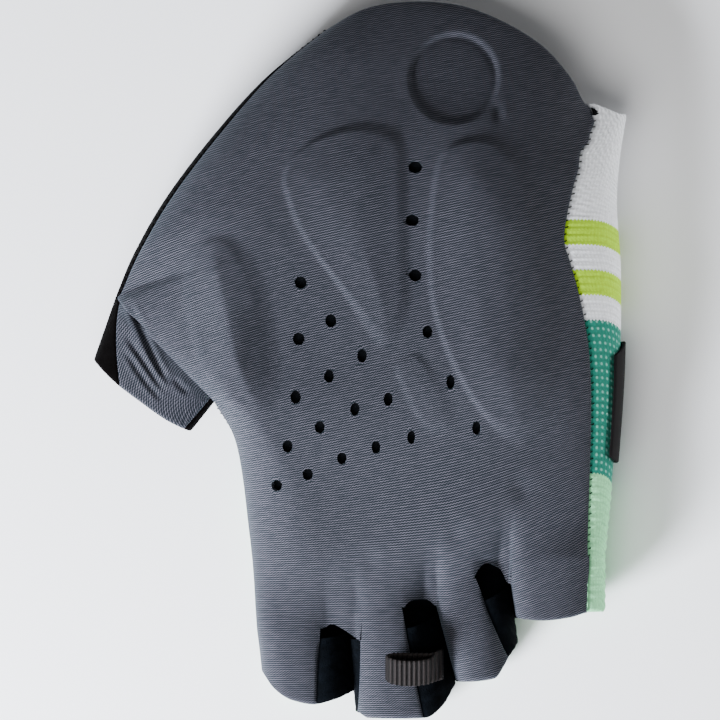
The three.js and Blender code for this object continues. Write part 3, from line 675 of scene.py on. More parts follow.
def with_normals(surface: Surface, turn: Array, v: Array, v_step: float = SLOPE_STEP) -> tuple[Array, Array]:
    """Points of a surface and their outward normals, from small steps either way.

    Args:
        surface: A function of turns and stations.
        turn: Turns.
        v: Stations.
        v_step: The small step along the stations.

    Returns:
        The points and the normals.
    """
    along = surface(turn, v + v_step) - surface(turn, v - v_step)
    around = surface(turn + SLOPE_STEP, v) - surface(turn - SLOPE_STEP, v)
    return surface(turn, v), unit(np.cross(along, around))


def even_turns(surface: Surface, v: Array, start: Array, end: Array, count: int) -> Array:
    """Turns that step by even lengths along each row of a surface.

    Args:
        surface: A function of turns and stations.
        v: The rows' stations.
        start: Each row's first turn.
        end: Each row's last turn.
        count: How many columns a row has.

    Returns:
        Turns, one row for each station.
    """
    fine = mix(start[:, None], end[:, None], np.linspace(0, 1, 3 * count))
    steps = np.linalg.norm(np.diff(surface(fine, v[:, None]), axis=1), axis=-1)
    run = np.concatenate([np.zeros((len(v), 1)), np.cumsum(steps, axis=1)], axis=1)
    shares = np.linspace(0, 1, count)
    return np.stack([np.interp(shares * r[-1], r, f) for r, f in zip(run, fine)])


def cell_corners(values: Array) -> tuple[Array, Array, Array, Array]:
    """The values at the four corners of each of a grid's cells, in order round it."""
    return values[:-1, :-1], values[1:, :-1], values[1:, 1:], values[:-1, 1:]


def run_along(points: Array, axis: int) -> Array:
    """Lengths along a grid, summed from point to point.

    Args:
        points: The grid.
        axis: 0 to measure from the first row, 1 from the first column.

    Returns:
        The length at each point.
    """
    steps = np.linalg.norm(np.diff(points, axis=axis), axis=-1)
    start = np.zeros_like(np.take(steps, [0], axis=axis))
    return np.concatenate([start, np.cumsum(steps, axis=axis)], axis=axis)


@dataclass(frozen=True)
class Hems:
    """Which borders of a grid are rounded hems: its first and last rows, and columns."""

    first_row: bool = True
    last_row: bool = True
    first_column: bool = True
    last_column: bool = True


@dataclass
class ClothGrid:
    """A grid of points on a panel's outer face, with what its shell needs."""

    points: Array
    outward: Array
    weave: Array
    thickness: float
    hems: Hems = Hems()
    keep: Optional[NDArray[np.bool_]] = None
    rounding: Any = 1.0  # how much of the rounding the hems have, from 0 to 1

    def hem_drop(self) -> Array:
        """How far the outer face falls towards the rounded borders, as a quarter round.

        Returns:
            The drop at each point.
        """
        run, around = run_along(self.points, 0), run_along(self.points, 1)
        reach = np.full(run.shape, np.inf)
        for hemmed, away in (
            (self.hems.first_row, run),
            (self.hems.last_row, run[-1:] - run),
            (self.hems.first_column, around),
            (self.hems.last_column, around[:, -1:] - around),
        ):
            reach = np.minimum(reach, away) if hemmed else reach
        fallen = 1 - quarter_round(reach / (HEM_WIDTH_SHARE * self.thickness))
        return self.rounding * self.thickness * HEM_FALL_SHARE * fallen

    def flat_size(self) -> Pair:
        """The panel's mean width and length, in metres.

        Returns:
            The width across its columns and the length down its rows.
        """
        width = run_along(self.points, 1)[:, -1].mean()
        length = run_along(self.points, 0)[-1].mean()
        return float(width) * MM, float(length) * MM

    def area(self) -> float:
        """Sums the kept cells, each as two triangles.

        Returns:
            The area, in square metres.
        """
        a, b, c, d = cell_corners(self.points)
        near, far = np.cross(b - a, c - a), np.cross(c - a, d - a)
        cells = (np.linalg.norm(near, axis=-1) + np.linalg.norm(far, axis=-1)) / 2
        kept = cells if self.keep is None else cells[self.keep]
        return float(kept.sum()) * MM * MM


def mesh_object(name: str, vertices: Array, faces: Array, uv: Optional[Array] = None) -> Piece:
    """Makes a smooth mesh object, in metres.

    Args:
        name: The piece's name.
        vertices: Points in millimetres.
        faces: Vertex numbers, four to a face.
        uv: Places on the cloth, in millimetres, one for each vertex.

    Returns:
        The object, in the scene.
    """
    used, numbers = np.unique(faces.ravel(), return_inverse=True)
    corners = numbers.reshape(faces.shape)
    mesh = bpy.data.meshes.new(name)
    mesh.from_pydata((vertices[used] * MM).tolist(), [], corners.tolist())
    if uv is not None:
        layer = mesh.uv_layers.new(name="cloth")
        layer.data.foreach_set("uv", uv[used][corners.ravel()].astype(np.float32).ravel())
    mesh.shade_smooth()
    mesh.set_sharp_from_angle(angle=SHARP_ANGLE)
    piece = bpy.data.objects.new(name, mesh)
    bpy.context.scene.collection.objects.link(piece)
    return piece


def shell(name: str, grid: ClothGrid) -> Piece:
    """Makes a closed shell of cloth: an outer face, an inner face, and walls round every border.

    Args:
        name: The piece's name.
        grid: The panel's outer face and thickness.

    Returns:
        The object.
    """
    rows, columns = grid.points.shape[:2]
    drop = grid.hem_drop()[..., None]
    outer = grid.points - grid.outward * drop
    inner = grid.points - grid.outward * (grid.thickness - drop)
    number = np.arange(rows * columns).reshape(rows, columns)
    keep = np.ones((rows - 1, columns - 1), bool) if grid.keep is None else grid.keep
    a, b, c, d = cell_corners(number)
    under = rows * columns
    around = np.pad(keep, 1)
    faces = [np.stack([a, b, c, d], axis=-1)[keep], np.stack([a, d, c, b], axis=-1)[keep] + under]
    for start, stop, beside in (
        (b, a, around[1:-1, :-2]),
        (c, b, around[2:, 1:-1]),
        (d, c, around[1:-1, 2:]),
        (a, d, around[:-2, 1:-1]),
    ):
        wall = np.stack([start, stop, stop + under, start + under], axis=-1)
        faces.append(wall[keep & ~beside])
    vertices = np.concatenate([outer.reshape(-1, 3), inner.reshape(-1, 3)])
    weave = np.tile(grid.weave.reshape(-1, 2), (2, 1))
    return mesh_object(name, vertices, np.concatenate(faces), weave)


def add_node(tree: Any, kind: str, links: Optional[dict[Any, Any]] = None, **settings: Any) -> Any:
    """Adds a node to a tree, sets it up and links it.

    Args:
        tree: The node tree.
        kind: The node's type, without its ShaderNode prefix.
        links: Input names or numbers, each with a socket, a node that gives its first output, or a value.
        **settings: Properties of the node.

    Returns:
        The node.
    """
    node = tree.nodes.new("ShaderNode" + kind)
    for name, value in settings.items():
        setattr(node, name, value)
    for name, value in (links or {}).items():
        source = value.outputs[0] if isinstance(value, bpy.types.Node) else value
        if isinstance(source, bpy.types.NodeSocket):
            tree.links.new(source, node.inputs[name])
        else:
            node.inputs[name].default_value = source
    return node


def linear(colour: str) -> tuple[float, float, float, float]:
    """Turns an sRGB hex colour into linear red, green, blue and alpha.

    Args:
        colour: A hash sign and six hex digits.

    Returns:
        The four channels, 0 to 1.
    """
    channels = [int(colour[k:k + 2], 16) / 255 for k in (1, 3, 5)]
    red, green, blue = (c / 12.92 if c <= 0.04045 else ((c + 0.055) / 1.055) ** 2.4 for c in channels)
    return red, green, blue, 1.0


def wave_scale(period: float) -> float:
    """The scale at which a Wave texture's bands repeat every so many units."""
    return math.pi / (10 * period)


def new_material(name: str) -> tuple[Material, Callable[..., Any]]:
    """Makes a material with an empty node tree.

    Args:
        name: The material's name.

    Returns:
        The material, and add_node for its tree.
    """
    material = bpy.data.materials.new(name)
    material.use_nodes = True
    material.node_tree.nodes.clear()
    return material, partial(add_node, material.node_tree)


def set_ramp(node: Any, stops: Sequence[tuple[float, str]]) -> None:
    """Sets a colour ramp's stops.

    Args:
        node: The colour ramp.
        stops: Places from 0 to 1, each with an sRGB colour.
    """
    elements = node.color_ramp.elements
    while len(elements) < len(stops):
        elements.new(1.0)
    for element, (place, colour) in zip(elements, stops):
        element.position = place
        element.color = linear(colour)


@dataclass(frozen=True)
class JerseyFinish:
    """Heather jersey bonded to thin foam, weft knitted from a dark and a light yarn.

    The light yarn lies in thin zigzag courses on the dark one, so the eye sees fine slanting lines.
    """

    name: str = "heather_jersey"
    dark: str = "#11181d"
    light: str = "#56535c"
    sheen: str = "#9fb6c8"
    course: float = 0.615  # from one light course to the next
    zigzag: float = 0.78  # along a course, from stitch to stitch
    zigzag_height: float = 0.22
    slub: Triple = (0.3, 1.7, 1.0)  # thick places in the yarn, about 3 by 0.6 mm
    patch: float = 30.0  # patches of lighter or darker dye, about 33 mm across

    def build(self) -> Material:
        """Makes the material.

        Returns:
            The material, with its nodes.
        """
        material, add = new_material(self.name)
        cloth = add("UVMap", uv_map="cloth")
        place = add("TexCoord").outputs["Object"]
        streaks = add("Mapping", {"Vector": cloth, "Scale": self.slub})
        slub = add("TexNoise", {"Vector": streaks, "Scale": 1.0, "Detail": 3.0})
        patch = add("TexNoise", {"Vector": place, "Scale": self.patch, "Detail": 1.0})
        stitch = add("TexWave", {"Vector": cloth, "Scale": wave_scale(self.zigzag)}, wave_profile="TRI")
        rise = add("Math", {0: stitch.outputs["Fac"], 1: self.zigzag_height}, operation="MULTIPLY")
        lift = add("CombineXYZ", {"Y": rise})
        bent = add("VectorMath", {0: cloth, 1: lift}, operation="ADD")
        courses = add("TexWave", {"Vector": bent, "Scale": wave_scale(self.course)}, bands_direction="Y")
        uneven = add(
            "MapRange",
            {"Value": slub.outputs["Fac"], "From Min": 0.3, "From Max": 0.7, "To Min": 0.45, "To Max": 1.1},
        )
        shown = add(
            "MapRange", {"Value": courses.outputs["Fac"], "From Min": 0.42, "From Max": 0.95},
            interpolation_type="SMOOTHSTEP",
        )
        share = add("Math", {0: shown, 1: uneven}, operation="MULTIPLY", use_clamp=True)
        yarn = add(
            "Mix", {"Factor": share, "A": linear(self.dark), "B": linear(self.light)}, data_type="RGBA",
        )
        shade = add(
            "MapRange",
            {"Value": patch.outputs["Fac"], "From Min": 0.3, "From Max": 0.7, "To Min": 0.96, "To Max": 1.04},
        )
        colour = add("VectorMath", {0: yarn.outputs["Result"], "Scale": shade}, operation="SCALE")
        bump = add("Bump", {"Height": share, "Strength": 0.7, "Distance": 0.12 * MM})
        shader = add("BsdfPrincipled", {
            "Base Color": colour, "Normal": bump, "Roughness": 0.85, "Specular IOR Level": 0.12,
            "Sheen Weight": 0.14, "Sheen Roughness": 0.45, "Sheen Tint": linear(self.sheen),
        })
        add("OutputMaterial", {"Surface": shader})
        return material


@dataclass(frozen=True)
class BandKnitFinish:
    """Polyester waffle knit in bands of colour: white, lime, white, lime, white, teal and mint.

    The weave's second coordinate runs along the glove, so the bands and the courses follow the cloth.
    """

    name: str = "band_knit"
    white: str = "#eef0f4"
    lime: str = "#aedd1e"
    teal: str = "#1f7d6a"
    mint: str = "#93dfa6"
    dot: str = "#9fdccb"  # pale yarn that shows at the knots of the teal band
    low: float = -100.0
    high: float = 100.0
    teal_start: float = -28.5
    teal_end: float = 10.0
    bands: tuple[tuple[float, str], ...] = (
        (low, "mint"), (teal_start, "teal"), (teal_end, "white"), (16.0, "lime"), (22.5, "white"),
        (28.25, "lime"), (34.75, "white"),
    )
    course: float = 0.95
    wale: float = 1.05
    mesh_step: float = 1.75
    wander: float = 1.8  # how unevenly the yarn's loops lie
    slant: float = 0.75  # how steeply the ribs fall, near the wrist
    slant_width: float = 14.0  # how far round the side they fall
    slant_start: float = 34.0
    slant_end: float = 48.0
    fuzz: float = 900.0  # tufts of loose fibre, about 1.1 mm across
    prick: float = 1.5  # painted shade in needle pricks, about 0.7 mm across

    def build(self) -> Material:
        """Makes the material.

        Returns:
            The material, with its nodes.
        """
        material, add = new_material(self.name)
        cloth = add("UVMap", uv_map="cloth")
        place = add("TexCoord").outputs["Object"]
        fuzz = add("TexNoise", {"Vector": place, "Scale": self.fuzz, "Detail": 4.0}).outputs["Fac"]
        courses, wales = (
            add(
                "TexWave",
                {"Vector": cloth, "Scale": wave_scale(step), "Distortion": self.wander, "Detail Scale": 1.2},
                bands_direction=direction,
            ).outputs["Fac"]
            for step, direction in ((self.course, "Y"), (self.wale, "X"))
        )
        around, along = add("SeparateXYZ", {"Vector": cloth}).outputs[:2]
        near = add("Math", {0: around, 1: self.slant_width}, operation="MINIMUM")
        slant = add(
            "MapRange",
            {"Value": along, "From Min": self.slant_start, "From Max": self.slant_end, "To Max": self.slant},
        )
        slanted = add("Math", {0: near, 1: slant, 2: along}, operation="MULTIPLY_ADD")
        slope = add("CombineXYZ", {"Y": slanted})
        ribs, rows, ranks = (
            add(
                "TexWave", {"Vector": vector, "Scale": wave_scale(self.mesh_step)},
                bands_direction=direction,
            ).outputs["Fac"]
            for vector, direction in ((slope, "Y"), (cloth, "Y"), (cloth, "X"))
        )
        ragged = add("Math", {0: wales, 1: 0.35, 2: along}, operation="MULTIPLY_ADD")
        station = add("MapRange", {"Value": ragged, "From Min": self.low, "From Max": self.high})
        ramp = add("ValToRGB", {"Fac": station})
        ramp.color_ramp.interpolation = "CONSTANT"
        span = self.high - self.low
        set_ramp(ramp, [((y - self.low) / span, getattr(self, tone)) for y, tone in self.bands])
        loops = add("Math", {0: courses, 1: wales}, operation="MULTIPLY")
        # painted shade: the knit darkens between its loops and down the valleys between its ribs
        painted_hole_shade = add("MapRange", {"Value": loops, "From Max": 0.35, "To Min": 0.87})
        painted_furrow_shade = add("MapRange", {"Value": ribs, "From Max": 0.5, "To Min": 0.9})
        pricks = add("TexNoise", {"Vector": cloth, "Scale": self.prick, "Detail": 2.0}).outputs["Fac"]
        # painted shade in scattered needle pricks
        painted_prick_shade = add(
            "MapRange",
            {"Value": pricks, "From Min": 0.63, "From Max": 0.72, "To Min": 1.0, "To Max": 0.68},
        )
        knots = add("Math", {0: rows, 1: ranks}, operation="MULTIPLY")
        dots = add("MapRange", {"Value": knots, "From Min": 0.45, "From Max": 0.85, "To Max": 0.55})
        below = add("Math", {0: along, 1: self.teal_end}, operation="LESS_THAN")
        above = add("Math", {0: along, 1: self.teal_start}, operation="GREATER_THAN")
        inside = add("Math", {0: below, 1: above}, operation="MULTIPLY")
        picked = add("Math", {0: dots, 1: inside}, operation="MULTIPLY")
        dotted = add(
            "Mix", {"Factor": picked, "A": ramp.outputs["Color"], "B": linear(self.dot)},
            data_type="RGBA",
        )
        hairy = add(
            "MapRange",
            {"Value": fuzz, "From Min": 0.3, "From Max": 0.7, "To Min": 0.9, "To Max": 1.06},
        )
        # painted shade between loops, ribs and pricks, times the random tone of the fuzz
        painted_knit_shade = add("Math", {0: painted_hole_shade, 1: painted_furrow_shade}, operation="MULTIPLY")
        fuzz_and_prick_shade = add("Math", {0: hairy, 1: painted_prick_shade}, operation="MULTIPLY")
        fuzz_and_painted_shade = add("Math", {0: painted_knit_shade, 1: fuzz_and_prick_shade}, operation="MULTIPLY")
        colour = add("VectorMath", {0: dotted.outputs["Result"], "Scale": fuzz_and_painted_shade}, operation="SCALE")
        rough = add("Math", {0: fuzz, 1: 0.4, 2: loops}, operation="MULTIPLY_ADD")
        height = add("Math", {0: ribs, 1: 1.3, 2: rough}, operation="MULTIPLY_ADD")
        bump = add("Bump", {"Height": height, "Strength": 0.6, "Distance": 0.2 * MM})
        shader = add("BsdfPrincipled", {
            "Base Color": colour, "Normal": bump, "Roughness": 0.9, "Specular IOR Level": 0.08,
            "Sheen Weight": 0.04, "Sheen Roughness": 0.6,
        })
        add("OutputMaterial", {"Surface": shader})
        return material


@dataclass(frozen=True)
class NapFinish:
    """A cloth with a brushed nap: suede between the fingers, microfibre on the thumb, tricot inside.

    A fine noise parts the nap, and sheen lightens it where it turns away from the eye.
    """

    name: str
    base: str
    tip: str
    grain: float
    depth: float
    sheen: float = 0.3
    brushing: float = 0.12  # how fine the brush strokes are beside the grain

    def build(self) -> Material:
        """Makes the material.

        Returns:
            The material, with its nodes.
        """
        material, add = new_material(self.name)
        place = add("TexCoord").outputs["Object"]
        fine = self.grain * MM
        fibres = add("TexNoise", {"Vector": place, "Scale": 1 / fine, "Detail": 5.0, "Roughness": 0.7})
        brushed = add("TexNoise", {"Vector": place, "Scale": self.brushing / fine, "Detail": 3.0})
        both = add(
            "Math", {0: brushed.outputs["Fac"], 1: 0.8, 2: fibres.outputs["Fac"]},
            operation="MULTIPLY_ADD",
        )
        share = add("MapRange", {"Value": both, "From Min": 0.65, "From Max": 1.2})
        colour = add(
            "Mix", {"Factor": share, "A": linear(self.base), "B": linear(self.tip)}, data_type="RGBA",
        )
        bump = add("Bump", {"Height": both, "Strength": 0.9, "Distance": self.depth * MM})
        shader = add("BsdfPrincipled", {
            "Base Color": colour.outputs["Result"], "Normal": bump, "Roughness": 0.95,
            "Specular IOR Level": 0.03, "Sheen Weight": self.sheen, "Sheen Roughness": 0.7,
            "Sheen Tint": linear(self.tip),
        })
        add("OutputMaterial", {"Surface": shader})
        return material


@dataclass(frozen=True)
class GrosgrainFinish:
    """Woven polyester grosgrain: thick weft ribs across the ribbon, with fine warp threads over them.

    The ribs' crests get a painted highlight on the black ribbon, broken up by the warp.
    """

    name: str = "grosgrain_ribbon"
    base: str = "#080606"
    # the painted highlight on the crests of the ribs
    crest_highlight: str = "#2e2725"
    rib: float = 1.35
    warp: float = 0.4

    def build(self) -> Material:
        """Makes the material.

        Returns:
            The material, with its nodes.
        """
        material, add = new_material(self.name)
        cloth = add("UVMap", uv_map="cloth")
        ribs = add("TexWave", {"Vector": cloth, "Scale": wave_scale(self.rib)}).outputs["Fac"]
        warp = add(
            "TexWave",
            {"Vector": cloth, "Scale": wave_scale(self.warp), "Distortion": 1.5, "Detail Scale": 4.0},
            bands_direction="Y",
        ).outputs["Fac"]
        # painted highlight on the rib crests, broken up by the warp
        lit = add("MapRange", {"Value": ribs, "From Min": 0.45, "To Max": 0.75})
        share = add("Math", {0: lit, 1: warp}, operation="MULTIPLY")
        colour = add(
            "Mix", {"Factor": share, "A": linear(self.base), "B": linear(self.crest_highlight)},
            data_type="RGBA",
        )
        height = add("Math", {0: warp, 1: 0.25, 2: ribs}, operation="MULTIPLY_ADD")
        bump = add("Bump", {"Height": height, "Strength": 0.8, "Distance": 0.25 * MM})
        shader = add("BsdfPrincipled", {
            "Base Color": colour.outputs["Result"], "Normal": bump, "Roughness": 0.75,
            "Specular IOR Level": 0.12,
        })
        add("OutputMaterial", {"Surface": shader})
        return material


@dataclass(frozen=True)
class MouldedFinish:
    """A plain moulded or spun material: the rubber label, the foam pads and the sewing thread.

    A fine noise breaks up its gloss and its colour.
    """

    name: str
    base: str
    tip: str
    roughness: float
    grain: float
    depth: float
    gloss: float = 0.1
    unevenness: float = 0.08  # how far the roughness strays either way

    def build(self) -> Material:
        """Makes the material.

        Returns:
            The material, with its nodes.
        """
        material, add = new_material(self.name)
        place = add("TexCoord").outputs["Object"]
        grain = add(
            "TexNoise", {"Vector": place, "Scale": 1 / (self.grain * MM), "Detail": 4.0},
        ).outputs["Fac"]
        colour = add(
            "Mix", {"Factor": grain, "A": linear(self.base), "B": linear(self.tip)}, data_type="RGBA",
        )
        low, high = self.roughness - self.unevenness, self.roughness + self.unevenness
        rough = add("MapRange", {"Value": grain, "To Min": low, "To Max": high})
        bump = add("Bump", {"Height": grain, "Strength": 0.5, "Distance": self.depth * MM})
        shader = add("BsdfPrincipled", {
            "Base Color": colour.outputs["Result"], "Roughness": rough, "Normal": bump,
            "Specular IOR Level": self.gloss,
        })
        add("OutputMaterial", {"Surface": shader})
        return material


class Finishes:
    """The glove's materials, each made once."""

    def __init__(self) -> None:
        """Makes every material."""
        self.jersey = JerseyFinish().build()
        self.knit = BandKnitFinish().build()
        self.suede = NapFinish("synthetic_suede", "#020304", "#090d12", 0.35, 0.3, 0.04).build()
        self.microfibre = NapFinish("brushed_microfibre", "#020101", "#060505", 0.3, 0.15, 0.01).build()
        self.tricot = NapFinish("tricot_lining", "#17191d", "#30343b", 0.4, 0.1, 0.2).build()
        self.ribbon = GrosgrainFinish().build()
        self.rubber = MouldedFinish("moulded_rubber", "#080607", "#0e0c0c", 0.8, 0.25, 0.03).build()
        self.foam = MouldedFinish("open_cell_foam", "#2c2f35", "#4a4e57", 0.9, 0.5, 0.3).build()
        self.thread = MouldedFinish("spun_thread", "#040506", "#0c0d0f", 0.8, 0.2, 0.08, 0.04).build()


@dataclass(frozen=True)
class Bend:
    """Where cloth bends from the hand to a moving stub: two points in millimetres."""

    body: Body
    start: Triple
    end: Triple


def settle(piece: Piece, where: Union[Body, Bend], slot: Slot, material: Material, node: str) -> None:
    """Gives a finished piece its material, attaches it to its body or bakes it in place at a bend, and hides
    the solid it stands for.

    Args:
        piece: The piece.
        where: Its body, or the bend at which it meets a stub, where it is only baked in place.
        slot: Not used.
        material: Its material.
        node: The solid that it replaces.
    """
    piece.data.materials.append(material)
    if isinstance(where, Bend):
        start, end = (tuple(value * MM for value in point) for point in (where.start, where.end))
        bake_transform(piece)
        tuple(start)
        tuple(end)
    else:
        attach(piece, where.value)
    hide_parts(node)
    log.info("%s: %d faces", piece.name, len(piece.data.polygons))


def sew(
    name: str, grid: ClothGrid, where: Union[Body, Bend], slot: Slot, material: Material, node: str,
) -> None:
    """Makes a panel's shell and settles it, then works out its flat size, and its area unless it is a narrow
    strip. Strips narrower than a sheet aren't declared.

    Args:
        name: The piece's name.
        grid: The panel.
        where, slot, material, node: As settle takes them.
    """
    piece = shell(name, grid)
    settle(piece, where, slot, material, node)
    width, length = grid.flat_size()
    if min(width, length) >= NARROWEST_SHEET:
        spread = max(1.0, math.sqrt(grid.area() / (width * length)))
        grid.area()


@dataclass
class PalmRelief:
    """What stands up from, or sinks into, the palm cloth: pads, the pressed disc, folds and puckers."""

    pad_rise: float = 0.85
    disc_sink: float = 0.8
    thenar_pixels: Pairs = (
        (284, 180), (289, 200), (297, 222), (308, 242), (322, 262), (338, 283), (355, 306), (372, 330),
        (383, 341), (397, 327), (405, 300), (404, 260), (403, 215), (402, 170), (396, 138), (360, 128),
        (318, 140), (292, 160),
    )
    hypothenar_pixels: Pairs = (
        (438, 165), (432, 200), (429, 240), (430, 280), (434, 310), (443, 340), (455, 368), (472, 398),
        (490, 420), (509, 433), (529, 428), (545, 400), (552, 360), (551, 310), (545, 260), (536, 210),
        (520, 165), (490, 142), (455, 145),
    )
    index_pixels: Pairs = (
        (190, 262), (187, 290), (190, 320), (198, 350), (211, 382), (235, 408), (262, 412), (272, 385),
        (270, 350), (266, 320), (258, 288), (246, 262), (230, 243), (206, 242),
    )
    lobe_pixels: Pairs = (
        (397, 366), (404, 388), (414, 408), (429, 427), (450, 425), (444, 398), (430, 372), (415, 355),
    )
    disc_pixel: Pair = (454, 79)
    disc_radius: float = 10.9
    pucker_pixels: Pairs = ((370, 562), (455, 534), (521, 488))
    fold_pixels: tuple[Pairs, ...] = (
        ((129, 299), (133, 310), (138, 321), (146, 338), (154, 356), (162, 372), (170, 385)),
        ((126, 333), (136, 350), (147, 366), (157, 381), (167, 396)),
        ((126, 350), (134, 363), (145, 379), (155, 391), (164, 402)),
        ((174, 377), (181, 386), (190, 393)),
    )
    fold_depths: tuple[float, ...] = (0.7, 0.5, 0.42, 0.3)
    fold_width: float = 0.8
    notch_pixel: Pair = (497, 114)
    lobe_share: float = 0.45  # how high the lobe stands beside the pads
    soft_side: Pair = (0.35, 0.85)  # the shares across a pad where its step softens
    crown_reach: float = 12.0

    def pad(self, x: Array, y: Array, pixels: Pairs, crisp: float, soft: float, crown: float) -> Array:
        """A pad's rise: a step at its outline, and a crown.

        Args:
            x, y: Places across and along.
            pixels: The outline.
            crisp: The step's width towards the thumb.
            soft: Its width away from the thumb.
            crown: How much higher the middle is.

        Returns:
            Heights in millimetres.
        """
        ring = closed_outline(from_picture(pixels), 90)
        inside = depth_inside(x, y, ring)
        low, high = ring.min(axis=0), ring.max(axis=0)
        side = smooth((x - low[0]) / (high[0] - low[0]), *self.soft_side)
        width = mix(crisp, soft, side)
        step = np.clip(inside / width + 0.5, 0, 1)
        rise = step * step * (3 - 2 * step)
        return self.pad_rise * rise + crown * smooth(inside, 0, self.crown_reach)

    def folds(self, x: Array, y: Array) -> Array:
        """The folds that run down over the root of the thumb, each a furrow between two low ridges.

        Args:
            x, y: Places across and along.

        Returns:
            Heights in millimetres.
        """
        total = np.zeros(x.shape)
        for pixels, depth in zip(self.fold_pixels, self.fold_depths):
            line = outline(from_picture(pixels))(np.linspace(0, 1, 24))
            away, share = line_distance(x, y, line)
            fade = smooth(share, 0, 0.25) * (1 - smooth(share, 0.75, 1))
            furrow = hump(away, self.fold_width) - 0.5 * hump(away - 1.8 * self.fold_width, self.fold_width)
            total = total - depth * fade * furrow
        return total

    def height(self, x: Array, y: Array) -> Array:
        """The whole relief over plan places.

        Args:
            x, y: Places across and along.

        Returns:
            Heights in millimetres.
        """
        pads = self.pad(x, y, self.thenar_pixels, crisp=1.0, soft=4.0, crown=1.1)
        pads = np.maximum(pads, self.pad(x, y, self.hypothenar_pixels, crisp=1.1, soft=7.0, crown=1.1))
        pads = np.maximum(pads, self.pad(x, y, self.index_pixels, crisp=3.0, soft=6.0, crown=2.6))
        lobe = self.pad(x, y, self.lobe_pixels, crisp=1.6, soft=4.0, crown=0.9)
        pads = np.maximum(pads, self.lobe_share * lobe)
        disc = from_picture([self.disc_pixel])[0]
        rim = self.disc_radius - np.hypot(x - disc[0], y - disc[1])
        groove, lip = 0.3 * hump(rim - 0.6, 0.6), 0.12 * hump(rim + 1.4, 1.2)
        pressed = -self.disc_sink * smooth(rim, -0.55, 0.65) - groove + lip
        puckers = sum(
            -0.55 * hump(np.hypot(x - px, (y - py) * 0.8), 2.4) for px, py in from_picture(self.pucker_pixels)
        )
        notch = from_picture([self.notch_pixel])[0]
        dent = -0.7 * hump(np.hypot((x - notch[0]) * 1.6, y - notch[1]), 2.0)
        dent = dent + 0.35 * hump(np.hypot((x - notch[0] - 2.2) * 1.6, y - notch[1]), 1.8)
        wide = 0.16 * np.sin(x / 9 + 1.1 * np.sin(y / 17)) * np.sin(y / 7 + 0.6)
        return pads + pressed + puckers + dent + wide + self.folds(x, y)


@dataclass
class Weave:
    """How the palm cloth's courses lie: slanting over the palm, and in rings over the thumb."""

    crotch_pixel: Pair = (216, 403)
    slope: float = 0.22
    ring_slope: float = 55.0
    levelling: float = 0.19  # how much of the slope is lost below the fingers
    level_width: float = 22.0
    thumb_droop: float = 0.0028
    little_rise: float = 0.0056
    wrist_spread: float = 0.0025
    finger_spread: float = 0.002
    root_way: Pair = (0.7257, 0.688)  # square to the thumb's root, on the plan

    def rise(self, x: Array, y: Array) -> Array:
        """How much higher a course lies at x than at the middle.

        The courses rise to the little finger all over the palm, steeper at the thumb edge, almost
        level over the index and middle fingers, and steep again over the ring and little fingers.

        Args:
            x, y: Places across and along.

        Returns:
            Lengths along the glove, in millimetres.
        """
        low = smooth(-y, 15, 62)
        level = self.slope * x - self.levelling * low * np.minimum(x, self.level_width)
        thumb = self.thumb_droop * np.maximum(-x - 12, 0) ** 2 * smooth(y, -30, 10)
        little = self.little_rise * np.maximum(x - 24, 0) ** 2 * smooth(-y, 5, 40)
        return level - thumb + little

    def places(self, points: Array) -> Array:
        """Places on the cloth: lengths along the courses, and across them.

        Args:
            points: Points of the palm, in millimetres.

        Returns:
            Cloth places, on a new last axis.
        """
        x, y = points[..., 0], points[..., 1]
        across = y - self.rise(x, y) + self.wrist_spread * np.maximum(y - 35, 0) ** 2
        across = across - self.finger_spread * np.maximum(-y - 40, 0) ** 2
        crotch = from_picture([self.crotch_pixel])[0]
        dx, dy = x - crotch[0], y - crotch[1]
        ring = np.hypot(dx, dy) + crotch[1] - self.rise(crotch[0], crotch[1])
        past_root = -(self.root_way[0] * dx + self.root_way[1] * dy)
        share = smooth(past_root, -1.0, 3.0) * smooth(-dx, -3.0, 1.0)
        way = math.radians(self.ring_slope)
        along = mix(x + self.slope * y, dx * math.cos(way) + dy * math.sin(way), share)
        return np.stack([along, mix(across, ring, share)], axis=-1)


